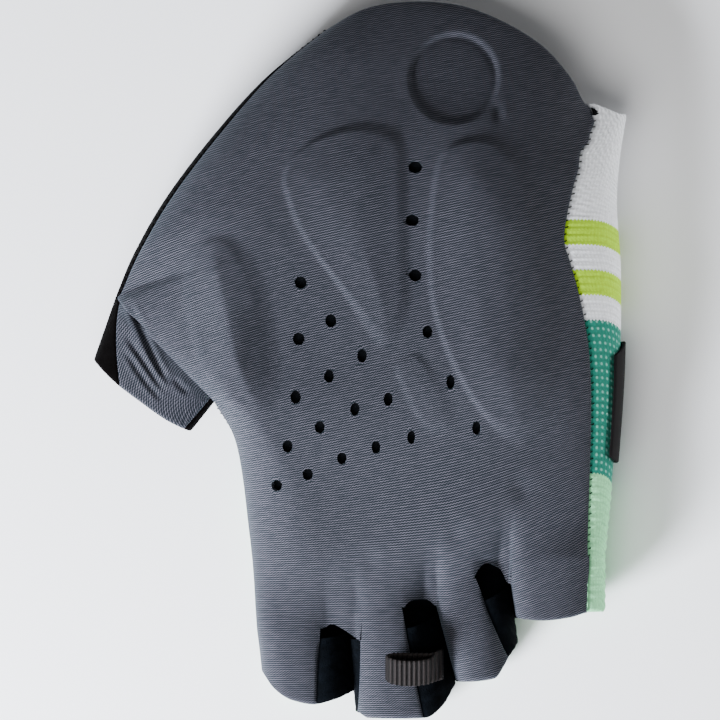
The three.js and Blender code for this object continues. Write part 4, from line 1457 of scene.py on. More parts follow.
@dataclass
class Palm:
    """The palm panel of heather jersey, with its punched vents."""

    form: HandForm
    relief: PalmRelief
    weave: Weave
    thickness: float = 1.3
    rows: int = 226
    columns: int = 172
    side_fade: float = 6.0  # where the relief is full, from a side seam
    wrist_fade: float = 4.0
    arch_start: float = 0.94  # the station at which the arched hems set in
    square_border: Pair = (8.0, 16.0)  # how far from the thumb's root the border isn't rounded
    fray: float = 0.05
    fray_waves: int = 7
    vents: tuple[tuple[float, float, float, float], ...] = (
        (301, 283, 12, 12.4), (299, 339, 11.6, 12.6), (331, 321, 11, 13), (296, 397, 10.4, 13.4),
        (329, 376, 10, 13), (362, 356, 9.6, 13.6), (288, 446, 10.4, 12.4), (320, 427, 10, 12.4),
        (355, 409, 9.4, 13), (388, 399, 9, 14), (277, 485, 11, 11), (308, 474, 10.6, 11.6),
        (342, 458, 9.6, 12.2), (376, 447, 9, 13), (411, 437, 8, 13.6), (415, 168, 13.8, 12.6),
        (412, 221, 13, 11.8), (415, 276, 12.4, 12), (427, 332, 9.8, 12.4), (450, 382, 8.4, 14),
        (476, 428, 9, 13.4),
    )
    hem_pixels: tuple[Pairs, ...] = (
        (
            (320, 625), (323, 628), (327, 625.6), (332, 623.6), (340, 627), (346, 630.5), (354, 635.7),
            (358.8, 639.6), (360.6, 640), (362, 617),
        ),
        (
            (402, 606), (404.5, 607), (407, 603), (413, 599.8), (424, 599.3), (430, 600.3), (433, 604),
            (436, 606), (437.5, 596),
        ),
        (
            (475, 575), (478, 569), (481, 565.5), (486, 562.6), (492, 563.8), (498, 566.8),
            (503.5, 574.4), (505.8, 581), (508.5, 583), (510.5, 570),
        ),
    )

    def lifted(self, points: Array, outward: Array, fade: Array) -> Array:
        """Adds the relief to points of the palm, straight up wherever the palm isn't steep.

        Args:
            points: The points.
            outward: Their normals.
            fade: How much of the relief each has.

        Returns:
            The raised points.
        """
        height = self.relief.height(points[..., 0], points[..., 1]) * fade
        way = unit(mix(outward, np.array([0.0, 0.0, 1.0]), smooth(outward[..., 2:], 0, 0.5)))
        return points + way * height[..., None]

    def punched(self, grid: ClothGrid) -> None:
        """Opens the vents: cells inside a vent go, and the corners round it move onto its circle.

        Args:
            grid: The panel's grid, whose points and kept cells change.
        """
        keep = np.ones((grid.points.shape[0] - 1, grid.points.shape[1] - 1), bool)
        for px, py, wide, high in self.vents:
            vent = from_picture([(px, py)])[0]
            half = np.array([wide, high]) * PIXEL / 2
            plan = (grid.points[..., :2] - vent) / half
            hole = np.linalg.norm(sum(cell_corners(plan)) / 4, axis=-1) < 1
            gone, left = np.pad(hole, 1), np.pad(~hole, 1, constant_values=True)
            rim = np.any(cell_corners(gone), axis=0) & np.any(cell_corners(left), axis=0)
            way = unit(plan[rim])
            angle = np.arctan2(way[:, 1], way[:, 0])
            frayed = 1 + self.fray * np.sin(self.fray_waves * angle + px)[:, None]
            grid.points[rim, :2] = vent + way * half * frayed
            keep &= ~hole
        grid.keep = keep

    def grid(self) -> ClothGrid:
        """Works out the panel from the wrist to the row of crotches, arched between the fingers.

        Returns:
            The panel's grid, with its vents open.
        """
        form = self.form
        rows = np.linspace(0, 1, self.rows)
        start, end = form.rules["palm_start"](rows), form.rules["palm_end"](rows)
        turn = even_turns(form.hand, rows, start, end, self.columns)
        station = np.broadcast_to(rows[:, None], turn.shape)
        points, outward = with_normals(form.hand, turn, station)
        points[..., 1] += self.hem_shift(turn[-1]) * smooth(rows, self.arch_start, 1)[:, None]
        around = run_along(points, 1)
        by_thumb = smooth(station, form.thumb_start - 0.01, form.thumb_start + 0.02)
        by_thumb = by_thumb * (1 - smooth(station, form.thumb_end - 0.02, form.thumb_end + 0.03))
        left = np.maximum(smooth(around, 0, self.side_fade), by_thumb)
        right = smooth(around[:, -1:] - around, 0, self.side_fade)
        fade = left * right * smooth(run_along(points, 0), 0, self.wrist_fade)
        lifted = self.lifted(points, outward, fade)
        weave = self.weave.places(points)
        rounding = 1 - by_thumb * (1 - smooth(around, *self.square_border))
        grid = ClothGrid(lifted, outward, weave, self.thickness, Hems(last_row=False), rounding=rounding)
        self.punched(grid)
        return grid

    def hem_shift(self, turn: Array) -> Array:
        """How far the last row's points move along the glove, to the arched hems between the fingers.

        Args:
            turn: The row's turns.

        Returns:
            The move of each point.
        """
        s = across_of(turn)
        here = self.form.plan(s, np.ones(s.shape), self.form.curves["tongue"])
        shift = np.zeros(s.shape)
        for pixels in self.hem_pixels:
            hem = from_picture(pixels)
            inside = (here[:, 0] > hem[0, 0]) & (here[:, 0] < hem[-1, 0]) & (turn > 0)
            shift = np.where(inside, through(hem)(here[:, 0]) - here[:, 1], shift)
        return shift

    def build(self, finishes: Finishes) -> None:
        """Makes the panel."""
        sew("palm_cloth", self.grid(), Body.HAND, Slot.PALM, finishes.jersey, "palm_panel")


@dataclass
class InnerLayers:
    """The pads, the pressed disc, the lining and the wrist elastic, inside the glove."""

    form: HandForm
    relief: PalmRelief
    pad_depth: float = 1.6
    pad_thickness: float = 2.3
    pad_inset: float = 0.93  # a pad's size beside its relief
    pad_rings: int = 22
    pad_sides: int = 72
    disc_radius: float = 10.2
    lining_span: Pair = (0.05, 0.86)
    lining_inset: Pair = (0.16, 0.12)  # in turns, from the palm's two side seams
    lining_depth: float = 4.4
    lining_thickness: float = 0.7
    elastic_start: float = 0.015
    elastic_turns: Pair = (1.16, 1.9)
    elastic_width: float = 7.0
    elastic_slack: float = 1.18
    elastic_thickness: float = 0.8
    elastic_depth: float = 1.8
    gather_height: float = 0.12
    gather_step: float = 3.2

    def pad(self, name: str, ring: Array) -> Piece:
        """A crowned closed pad under the palm cloth: a lens between an upper and a lower face.

        Args:
            name: The piece's name.
            ring: The pad's outline on the plan.

        Returns:
            The object.
        """
        centre = ring.mean(axis=0)
        out = np.linspace(0, 1, self.pad_rings)
        reach = np.concatenate([out, out[::-1][1:]])
        places = centre + (ring[None, :, :] - centre) * reach[:, None, None]
        turn, t = self.form.locate(places)
        points, outward = with_normals(self.form.hand, turn, t)
        relief = self.relief.height(points[..., 0], points[..., 1])
        swell = np.sqrt(np.maximum(0, 1 - reach ** 6))[:, None]
        lower = np.arange(len(reach))[:, None] >= self.pad_rings
        half = self.pad_thickness / 2 * swell
        depth = self.pad_depth + self.pad_thickness / 2 + np.where(lower, half, -half)
        vertices = points + outward * (relief - depth)[..., None]
        rows, count = vertices.shape[:2]
        number = np.arange(rows * count).reshape(rows, count)
        beside = np.roll(number, -1, axis=1)
        faces = np.stack([number[:-1], number[1:], beside[1:], beside[:-1]], axis=-1).reshape(-1, 4)
        piece = mesh_object(name, vertices.reshape(-1, 3), faces)
        self.close(piece)
        return piece

    def close(self, piece: Piece) -> None:
        """Merges doubled points at the poles and turns the faces outwards.

        Args:
            piece: The pad, changed in place.
        """
        work = bmesh.new()
        work.from_mesh(piece.data)
        bmesh.ops.remove_doubles(work, verts=work.verts, dist=1e-6)
        bmesh.ops.recalc_face_normals(work, faces=work.faces)
        work.to_mesh(piece.data)
        work.free()
        piece.data.shade_smooth()

    def lining(self) -> ClothGrid:
        """The lining's grid, under the pads.

        Returns:
            The grid, whose weave is its places in plan.
        """
        rows = np.linspace(*self.lining_span, 96)
        start = self.form.rules["palm_start"](rows) + self.lining_inset[0]
        end = self.form.rules["palm_end"](rows) - self.lining_inset[1]
        turn = even_turns(self.form.hand, rows, start, end, 80)
        points, outward = with_normals(self.form.hand, turn, rows[:, None])
        face = points - outward * self.lining_depth
        return ClothGrid(face, outward, points[..., :2], self.lining_thickness)

    def elastic(self) -> ClothGrid:
        """The wrist elastic's grid, inside the back.

        Returns:
            The grid, gathered in a wave round the wrist.
        """
        span = self.elastic_width / (2 * self.form.half_length) * self.elastic_slack
        rows = np.linspace(self.elastic_start, self.elastic_start + span, 12)
        turn = np.broadcast_to(np.linspace(*self.elastic_turns, 150), (12, 150))
        points, outward = with_normals(self.form.hand, turn, rows[:, None])
        gather = self.gather_height * np.sin(run_along(points, 1) * 2 * np.pi / self.gather_step)
        face = points - outward * (self.elastic_depth + gather)[..., None]
        weave = np.stack([run_along(points, 1), run_along(points, 0)], axis=-1)
        return ClothGrid(face, outward, weave, self.elastic_thickness)

    def build(self, finishes: Finishes) -> None:
        """Makes the layers.

        Args:
            finishes: The glove's materials.
        """
        relief = self.relief
        for name, pixels in (
            ("thenar_pad", relief.thenar_pixels),
            ("hypothenar_pad", relief.hypothenar_pixels),
            ("index_base_pad", relief.index_pixels),
        ):
            ring = closed_outline(from_picture(pixels), self.pad_sides)
            centre = ring.mean(axis=0)
            piece = self.pad(name + "_foam", centre + (ring - centre) * self.pad_inset)
            settle(piece, Body.HAND, Slot.FOAM, finishes.foam, name)
        way = np.linspace(0, 2 * np.pi, self.pad_sides, endpoint=False)
        disc = from_picture([relief.disc_pixel])[0]
        ring = disc + self.disc_radius * np.stack([np.cos(way), np.sin(way)], axis=-1)
        piece = self.pad("heel_disc_foam", ring)
        settle(piece, Body.HAND, Slot.FOAM, finishes.foam, "heel_disc")
        sew("lining_tricot", self.lining(), Body.HAND, Slot.LINING, finishes.tricot, "palm_lining")
        piece = shell("wrist_elastic_band", self.elastic())
        settle(piece, Body.HAND, Slot.RIBBON, finishes.ribbon, "wrist_elastic")


@dataclass
class KnitStructure:
    """The knit's relief: thick ribs on the fingers. The finer ribs are in the material."""

    edge_shift: float = 2.75  # how far the bands hang lower round the side than at the palm seam
    rib_height: float = 0.3
    rib_step: float = 2.45
    rib_end: Pair = (-30.0, -27.0)  # where along the glove the ribs run out
    ground: float = 0.15  # the height between the ribs, as a share of theirs

    def places(self, points: Array, turn: Array) -> Array:
        """Cloth places: lengths round the hand, and along it with the bands' hang taken out."""
        hang = self.edge_shift * smooth(turn, 0.83, 1.0)
        return np.stack([run_along(points, 1), points[..., 1] + hang], axis=-1)

    def height(self, cloth: Array) -> Array:
        """The relief at cloth places, a wave along the glove whose crests are level with the cloth.

        Args:
            cloth: Cloth places, as places() gives them.

        Returns:
            Heights in millimetres, 0 at the crests.
        """
        along = cloth[..., 1]
        ribs = 0.5 + 0.5 * np.cos(2 * np.pi * along / self.rib_step)
        fade = 1 - smooth(along, *self.rib_end)
        return self.rib_height * (self.ground + (1 - self.ground) * ribs * fade) - self.rib_height


@dataclass
class KnitBack:
    """The knitted back of the hand, and the plain panel on its thumb side."""

    form: HandForm
    structure: KnitStructure
    thickness: float = 1.3
    seam_gap: float = 0.25
    lap: float = 0.9
    tuck: float = 1.45
    tuck_width: float = 1.9
    cuff_rise: float = 1.7  # how much higher the cuff stands beside the palm's corner
    cuff_share: float = 0.06  # how far along the hand that reaches
    cuff_reach: Pair = (2.0, 11.0)  # and how far round it
    rows: int = 270
    columns: int = 150

    def shift(self, turn: Array, t: Array, distance: Any) -> Array:
        """The turn a distance further round the hand, by the length of a small step.

        Args:
            turn: Turns.
            t: Stations.
            distance: Millimetres, below 0 to go back.

        Returns:
            The moved turns.
        """
        step = np.copysign(SLOPE_STEP, distance)
        reach = np.linalg.norm(self.form.hand(turn, t) - self.form.hand(turn + step, t), axis=-1)
        return turn + distance * SLOPE_STEP / reach

    def tucked(self, points: Array, outward: Array, first: Any, last: Any) -> Array:
        """Lowers a panel's two side borders under the panels beside it.

        Args:
            points: The panel's outer face.
            outward: Its normals.
            first: How much of the tuck each row has at its start, 0 to 1.
            last: How much it has at its end.

        Returns:
            The lowered points.
        """
        run = run_along(points, 1)
        drop = first * (1 - smooth(run, 0, self.tuck_width))
        drop = drop + last * (1 - smooth(run[:, -1:] - run, 0, self.tuck_width))
        return points - outward * (self.tuck * drop)[..., None]

    def knit_end(self, rows: Array) -> Array:
        """The turn of the knit's far border: beside the microfibre, then under the palm cloth.

        Args:
            rows: Stations of the hand.

        Returns:
            One turn for each.
        """
        form = self.form
        beside = 2 - form.rules["side_panel"](rows) - self.seam_gap / form.half_width
        under = self.shift(2 + form.rules["palm_start"](rows), rows, self.lap)
        return mix(beside, under, smooth(rows, form.side_panel_end, form.pinch_start))

    def knit_grid(self) -> ClothGrid:
        """The knit, from the little-finger seam round the back to the thumb side.

        Returns:
            The knit's grid.
        """
        form = self.form
        rows = np.linspace(0, 1, self.rows)
        start = self.shift(form.rules["palm_end"](rows), rows, -self.lap)
        turn = even_turns(form.hand, rows, start, self.knit_end(rows), self.columns)
        points, outward = with_normals(form.hand, turn, rows[:, None])
        cloth = self.structure.places(points, turn)
        height = self.structure.height(cloth) * smooth(points[..., 2], *OFF_FLOOR)
        by_palm = smooth(rows, form.pinch_start - 0.04, form.pinch_start)[:, None]
        by_cuff = (1 - smooth(rows, 0, self.cuff_share))[:, None]
        points[..., 1] += self.cuff_rise * by_cuff * (1 - smooth(run_along(points, 1), *self.cuff_reach))
        face = self.tucked(points + outward * height[..., None], outward, 1.0, by_palm)
        return ClothGrid(face, outward, cloth, self.thickness, Hems(last_row=False))

    def side_grid(self) -> ClothGrid:
        """The microfibre panel, from under the knit to under the palm cloth on the thumb side.

        Returns:
            The panel's grid.
        """
        form = self.form
        rows = np.linspace(0, form.pinch_start - 0.02, 160)
        start = self.shift(self.knit_end(rows), rows, -self.lap)
        by_thumb = smooth(rows, form.thumb_start - 0.03, form.thumb_start)
        by_thumb = by_thumb * (1 - smooth(rows, form.thumb_end, form.thumb_end + 0.03))
        lap = mix(self.lap, -self.seam_gap, by_thumb)
        end = self.shift(2 + form.rules["palm_start"](rows), rows, lap)
        turn = even_turns(form.hand, rows, start, end, 60)
        points, outward = with_normals(form.hand, turn, rows[:, None])
        face = self.tucked(points, outward, 1.0, 1 - by_thumb[:, None])
        return ClothGrid(face, outward, points[..., :2], self.thickness)

    def build(self, finishes: Finishes) -> None:
        """Makes the two panels.

        Args:
            finishes: The glove's materials.
        """
        sew("back_band_knit", self.knit_grid(), Body.HAND, Slot.BACK, finishes.knit, "back_knit")
        name, node = "thumb_side_microfibre", "thumb_side_panel"
        sew(name, self.side_grid(), Body.HAND, Slot.MICROFIBRE, finishes.microfibre, node)


@dataclass
class FingerStub:
    """One finger stub: its palm face, knitted back and suede strips."""

    form: HandForm
    finger: FingerForm
    palm: Palm
    structure: KnitStructure
    bend_length: float = 11.0
    rows: int = 46
    face_columns: int = 52
    back_columns: int = 56
    strip_columns: int = 36
    thickness: float = 1.3
    suede_thickness: float = 1.2
    knit_gap: float = 0.01  # in turns, between the knit and its seams
    strip_lap: float = 0.03  # in turns, under the panels beside a strip
    strip_tuck: float = 1.35
    crumple: float = 0.1
    hem_start: Pair = (2.0, 9.0)  # where the hems become round, from the root
    relief_reach: float = 12.0

    def surface(self, turn: Array, down: Array) -> Array:
        """The stub's outer surface."""
        return self.form.finger(self.finger, turn, down)

    @property
    def over(self) -> Bend:
        """The bend over the hinge line, starting where the lowest root point is.

        Returns:
            The bend, which the stub's pieces share.
        """
        form, finger = self.form, self.finger
        row = form.curves["crotch"](mix(*finger.row, np.linspace(0, 1, 9)))
        lowest = float(row[:, 1].min())
        start = (float(row[:, 0].mean()), min(lowest, finger.hinge * form.half_length + 1.0), form.side_level)
        end = (start[0], start[1] - self.bend_length, start[2])
        return Bend(finger.body, start, end)

    def panel(self, share: Array, edges: tuple[Array, Array], columns: int, thickness: float) -> ClothGrid:
        """A grid between two edges whose turns change along the stub.

        Args:
            share: The rows' shares of the stub's length.
            edges: The first and last turns, one a row.
            columns: Points across.
            thickness: The cloth's thickness.

        Returns:
            The grid, whose weave is the turn and the length down the glove.
        """
        form = self.form
        turn = mix(edges[0][:, None], edges[1][:, None], np.linspace(0, 1, columns))
        down = form.down_at(self.finger, turn, share[:, None])
        points, outward = with_normals(self.surface, turn, down, SLOPE_STEP * form.half_length)
        return ClothGrid(points, outward, np.stack([turn, down], axis=-1), thickness, Hems(first_row=False))

    def face(self, finishes: Finishes) -> None:
        """Makes the palm face, of the palm's jersey.

        Args:
            finishes: The glove's materials.
        """
        share = np.linspace(0, 1, self.rows)
        grid = self.panel(share, self.finger.face_turns(share), self.face_columns, self.thickness)
        grid.weave = self.palm.weave.places(grid.points)
        run = run_along(grid.points, 0)
        grid.rounding = smooth(run, *self.hem_start)
        fade = 1 - smooth(run, 0, self.relief_reach)
        grid.points = self.palm.lifted(grid.points, grid.outward, fade)
        name = self.finger.name
        sew(name + "_palm_cloth", grid, self.over, Slot.PALM, finishes.jersey, name + "_palm_face")

    def back(self, finishes: Finishes) -> None:
        """Makes the back, of the banded knit.

        Args:
            finishes: The glove's materials.
        """
        share = np.linspace(0, 1, self.rows)
        first, last = self.finger.back_turns(share)
        edges = (first + self.knit_gap, last - self.knit_gap)
        grid = self.panel(share, edges, self.back_columns, self.thickness)
        grid.weave = self.structure.places(grid.points, grid.weave[..., 0])
        height = self.structure.height(grid.weave) * smooth(grid.points[..., 2], *OFF_FLOOR)
        grid.points = grid.points + grid.outward * height[..., None]
        name = self.finger.name
        sew(name + "_band_knit", grid, self.over, Slot.FINGER, finishes.knit, name + "_back")

    def strip(self, side: str, swell: Pair, finishes: Finishes) -> None:
        """Makes a suede strip that swells out between two seams and tucks under both.

        Args:
            side: The side of the finger, outer or inner.
            swell: How far it swells out at the root and at the mouth.
            finishes: The glove's materials.
        """
        finger = self.finger
        share = np.linspace(self.form.web_share(finger), 1, self.rows)
        face, back = finger.face_turns(share), finger.back_turns(share)
        first, last = (face[1], back[0]) if side == "outer" else (back[1] - 2, face[0])
        edges = (first - self.strip_lap, last + self.strip_lap)
        grid = self.panel(share, edges, self.strip_columns, self.suede_thickness)
        wide = np.linspace(0, 1, self.strip_columns)[None, :]
        full = 1 - np.abs(2 * wide - 1) ** 6
        rough = self.crumple * np.sin(grid.points[..., 1] * 2.1 + 3 * np.sin(grid.points[..., 2] * 0.9))
        out = mix(-self.strip_tuck, mix(*swell, share[:, None]) + rough, full)
        grid.points = grid.points + grid.outward * out[..., None]
        name = f"{finger.name}_{side}"
        sew(name + "_suede", grid, self.over, Slot.SUEDE, finishes.suede, name + "_strip")

    def build(self, finishes: Finishes) -> None:
        """Makes the stub's pieces.

        Args:
            finishes: The glove's materials.
        """
        self.face(finishes)
        self.back(finishes)
        if not self.finger.knit_wraps:
            self.strip("outer", self.finger.outer_swell, finishes)
        if not self.finger.face_wraps:
            self.strip("inner", self.finger.inner_swell, finishes)


@dataclass
class Webs:
    """The suede webs that arch from finger to finger."""

    form: HandForm
    thickness: float = 1.2
    rows: int = 60
    columns: int = 34
    rises: Triple = (1.4, 1.4, 4.0)
    tuck: float = 0.12
    back_reach: float = 10.5  # how much nearer the fingertips a web's back edge lies

    def point(self, one: FingerForm, other: FingerForm, rise: float, along: Array, width: Array) -> Array:
        """A web's surface: a strip bent over the crotch from one finger's leg to the other's.

        It climbs along the first finger, crosses over in a flat bow and comes down the other.

        Args:
            one: The finger nearer the thumb.
            other: Its neighbour.
            rise: How far the web's top is from the row of crotches, to the wrist.
            along: Shares from leg to leg.
            width: Shares from the palm side to the back.

        Returns:
            Points.
        """
        form = self.form
        leg, other_leg = np.array(form.web_share(one)), np.array(form.web_share(other))
        edge, other_edge = across_of(one.face_turns(leg)[1]), across_of(other.face_turns(other_leg)[0])
        turn = mix(turn_of(edge - self.tuck), one.back_turns(leg)[0] + 0.03, width)
        other_turn = mix(turn_of(other_edge + self.tuck), other.back_turns(other_leg)[1] - 2.03, width)
        start = form.finger(one, turn, form.down_at(one, turn, leg))
        stop = form.finger(other, other_turn, form.down_at(other, other_turn, other_leg))
        crotch = form.curves["crotch"](np.array((one.row[1] + other.row[0]) / 2))
        half = form.crotch_level_share * form.thickness
        lean = smooth(along, 0.1, 0.9)
        climb = np.sin(np.pi * along) ** 0.6
        base = mix(start, stop, lean[..., None])
        middle = (start + stop) / 2
        y = base[..., 1] + (crotch[1] + rise - middle[..., 1] - self.back_reach * width) * climb
        z = base[..., 2] + (form.side_level + mix(half - 0.8, -half, width) - middle[..., 2]) * climb
        return np.stack([base[..., 0], y, z], axis=-1)

    def build(self, finishes: Finishes) -> None:
        """Makes the three webs."""
        for one, other, rise in zip(self.form.fingers, self.form.fingers[1:], self.rises):
            along = np.linspace(0, 1, self.rows)[:, None]
            width = np.broadcast_to(np.linspace(0, 1, self.columns), (self.rows, self.columns))

            def surface(turn: Array, v: Array) -> Array:
                """The web with its rows run from the further finger, so that it faces outwards."""
                turn, v = np.broadcast_arrays(turn, v)
                return self.point(one, other, rise, np.clip(1 - v, 0, 1), turn)

            points, outward = with_normals(surface, width, along)
            under = 1.6 * (1 - smooth(width, 0, 0.55)) + 1.35 * smooth(width, 0.8, 1)
            points = points - outward * under[..., None]
            grid = ClothGrid(points, outward, points[..., :2], self.thickness, Hems(False, False, True, True))
            name = f"{one.name}_{other.name}"
            sew(name + "_suede_web", grid, Body.HAND, Slot.SUEDE, finishes.suede, name + "_web")


@dataclass
class ThumbStub:
    """The thumb stub: a palm face of jersey, and a microfibre back that wraps the rest."""

    form: HandForm
    palm: Palm
    bend_length: float = 9.0
    face_start: Pair = (0.04, 0.3)
    face_end: Pair = (0.97, 0.93)
    tuck_share: float = 0.06  # how far the back runs in under the hand's panels
    lap: float = 0.035  # how far the back runs in under the face, in turns
    tuck: float = 1.4
    tuck_width: float = 1.9
    thickness: float = 1.3
    relief_fade: float = 4.0

    def from_sides(self, points: Array) -> Array:
        """How far each point of a grid is from the nearer of its two side borders."""
        run = run_along(points, 1)
        return np.minimum(run, run[:, -1:] - run)

    def edges(self, b: Array) -> tuple[Array, Array]:
        """The turns of the palm face's two edges.

        Args:
            b: Shares of the stub's length, below 0 where it is tucked in.

        Returns:
            The first and last turns.
        """
        share = np.maximum(b, 0) ** 1.5
        first = turn_of(mix(*self.face_start, share))
        last = turn_of(mix(*self.face_end, share))
        return first, last

    @property
    def over(self) -> Bend:
        """The bend, square to the thumb's root line.

        Returns:
            The bend, which both panels share.
        """
        first, last = self.form.thumb_root
        middle = (first + last) / 2
        run = (last - first) / np.linalg.norm(last - first)
        out = np.array([run[1], -run[0]])
        end = middle + out * self.bend_length
        level = self.form.side_level
        return Bend(Body.THUMB, (*middle.tolist(), level), (*end.tolist(), level))

    def build(self, finishes: Finishes) -> None:
        """Makes the two panels.

        Args:
            finishes: The glove's materials.
        """
        form = self.form
        b = np.linspace(0, 1, 44)[:, None]
        first, last = self.edges(b)
        turn = mix(first, last, np.linspace(0, 1, 96))
        points, outward = with_normals(form.thumb, turn, b)
        weave = self.palm.weave.places(points)
        points = self.palm.lifted(points, outward, smooth(self.from_sides(points), 0, self.relief_fade))
        grid = ClothGrid(points, outward, weave, self.thickness, Hems(first_row=False))
        sew("thumb_palm_cloth", grid, self.over, Slot.PALM, finishes.jersey, "thumb_palm_face")
        b = np.linspace(-self.tuck_share, 1, 48)[:, None]
        first, last = self.edges(b)
        turn = mix(last - self.lap, 2 + first + self.lap, np.linspace(0, 1, 90))
        points, outward = with_normals(form.thumb, turn, b)
        beside = 1 - smooth(self.from_sides(points), 0, self.tuck_width)
        under = np.maximum(1 - smooth(b, -self.tuck_share, 0), beside)
        face = points - outward * (self.tuck * under)[..., None]
        grid = ClothGrid(face, outward, points[..., :2], self.thickness, Hems(first_row=False))
        sew("thumb_microfibre", grid, self.over, Slot.MICROFIBRE, finishes.microfibre, "thumb_back")


def stitches(
    name: str, starts: Array, ends: Array, outward: Array, radius: Array, lift: float,
) -> Piece:
    """Makes a row of stitches, each a short tapered tube that bows over from start to end.

    Args:
        name: The piece's name.
        starts: Where each stitch goes in, in millimetres.
        ends: Where it comes out.
        outward: The cloth's normal at each stitch.
        radius: Each stitch's radius.
        lift: How far a stitch bows off the cloth.

    Returns:
        The object.
    """
    rings, sides = 7, 6
    share = np.linspace(0, 1, rings)
    along = unit(ends - starts)
    aside = unit(np.cross(along, outward))
    centre = mix(starts[:, None], ends[:, None], share[None, :, None])
    centre = centre + outward[:, None] * (lift * np.sin(np.pi * share))[None, :, None]
    girth = np.asarray(radius)[..., None] * (0.35 + 0.65 * np.sin(np.pi * share) ** 0.5)
    angle = np.linspace(0, 2 * np.pi, sides, endpoint=False)
    round_it = (
        aside[:, None, None] * np.cos(angle)[None, None, :, None]
        + outward[:, None, None] * np.sin(angle)[None, None, :, None]
    )
    vertices = centre[:, :, None] + round_it * girth[..., None, None]
    number = np.arange(len(starts) * rings * sides).reshape(len(starts), rings, sides)
    beside = np.roll(number, -1, axis=2)
    walls = np.stack([number[:, :-1], beside[:, :-1], beside[:, 1:], number[:, 1:]], axis=-1).reshape(-1, 4)
    first, last = number[:, 0], number[:, -1]
    caps = [first[:, [3, 2, 1, 0]], first[:, [5, 4, 3, 0]], last[:, [0, 1, 2, 3]], last[:, [0, 3, 4, 5]]]
    return mesh_object(name, vertices.reshape(-1, 3), np.concatenate([walls, *caps]))


@dataclass
class Seams:
    """The thread that closes the long seams, shown as stitches over the edge of the palm cloth."""

    form: HandForm
    stitch_step: float = 1.7
    radius: float = 0.17
    tack_step: float = 0.3
    tack_radius: float = 0.26
    tack_reach: float = 1.3

    def along(
        self, name: str, middle: Curve, first: float, last: float, reach: Pair, tacks: int,
    ) -> Piece:
        """Stitches across a seam of the hand, evenly spaced along it.

        Args:
            name: The piece's name.
            middle: The seam's turn at a station.
            first: The first station.
            last: The last station.
            reach: How far a stitch reaches over the palm cloth, and beyond its edge.
            tacks: How many close, thick stitches the seam starts with.

        Returns:
            The object.
        """
        hand = self.form.hand
        fine = np.linspace(first, last, 400)
        run = run_along(hand(middle(fine), fine), 0)
        count = int(run[-1] / self.stitch_step)
        tack_runs = 0.2 + self.tack_step * np.arange(tacks)
        t = np.interp(np.concatenate([np.linspace(0, run[-1], count), tack_runs]), run, fine)
        tack = np.arange(count + tacks) >= count
        turn = middle(t)
        points, outward = with_normals(hand, turn, t)
        ahead = hand(turn + SLOPE_STEP, t) - points
        way = unit(ahead)
        lean = 0.35 * unit(hand(middle(t + SLOPE_STEP), t + SLOPE_STEP) - points)
        uneven = 1 + 0.45 * np.sin(np.arange(len(t)) * 2.4)[:, None]
        over = np.where(tack, self.tack_reach, reach[1])[:, None]
        starts = points - way * reach[0] + lean * 0.5 + outward * 0.05
        ends = points + way * over * uneven - lean * 0.5 - outward * np.where(tack, 0.0, 0.12)[:, None]
        return stitches(name, starts, ends, outward, np.where(tack, self.tack_radius, self.radius), 0.15)

    def build(self, finishes: Finishes) -> None:
        """Makes the three seams' stitches.

        Args:
            finishes: The glove's materials.
        """
        form = self.form
        start, end = form.rules["palm_start"], form.rules["palm_end"]
        for name, middle, first, last, reach, tacks in (
            ("little_side_seam", end, 0.004, 0.995, (0.35, 0.5), 6),
            ("thumb_side_seam", start, 0.004, form.thumb_start, (0.3, 0.4), 0),
            ("index_side_seam", start, form.thumb_end + 0.02, 0.995, (0.3, 0.4), 0),
        ):
            piece = self.along(name + "_stitches", middle, first, last, reach, tacks)
            settle(piece, Body.HAND, Slot.THREAD, finishes.thread, name)


@dataclass
class SideLabel:
    """The bare rubber label on the little-finger side, with its palm corners cut off."""

    form: HandForm
    thickness: float = 0.8
    proud: float = 0.25
    first: float = 0.62
    last: float = 0.82
    turns: Pair = (0.885, 1.12)
    corners: Pairs = ((0, 0.5), (0.1, 1), (0.4, 1), (0.7, 1), (0.94, 1), (1, 0.75))

    def build(self, finishes: Finishes) -> None:
        """Makes the label.

        Args:
            finishes: The glove's materials.
        """
        share = np.linspace(0, 1, 90)
        reach = np.interp(share, *np.array(self.corners).T)
        start = mix(self.turns[1], self.turns[0], reach)
        turn = mix(start[:, None], self.turns[1], np.linspace(0, 1, 50))
        t = mix(self.first, self.last, share)[:, None]
        points, outward = with_normals(self.form.hand, turn, t)
        face = points + outward * (self.proud + self.thickness)
        grid = ClothGrid(face, outward, points[..., 1:], self.thickness)
        settle(shell("side_label_rubber", grid), Body.HAND, Slot.LABEL, finishes.rubber, "side_label")


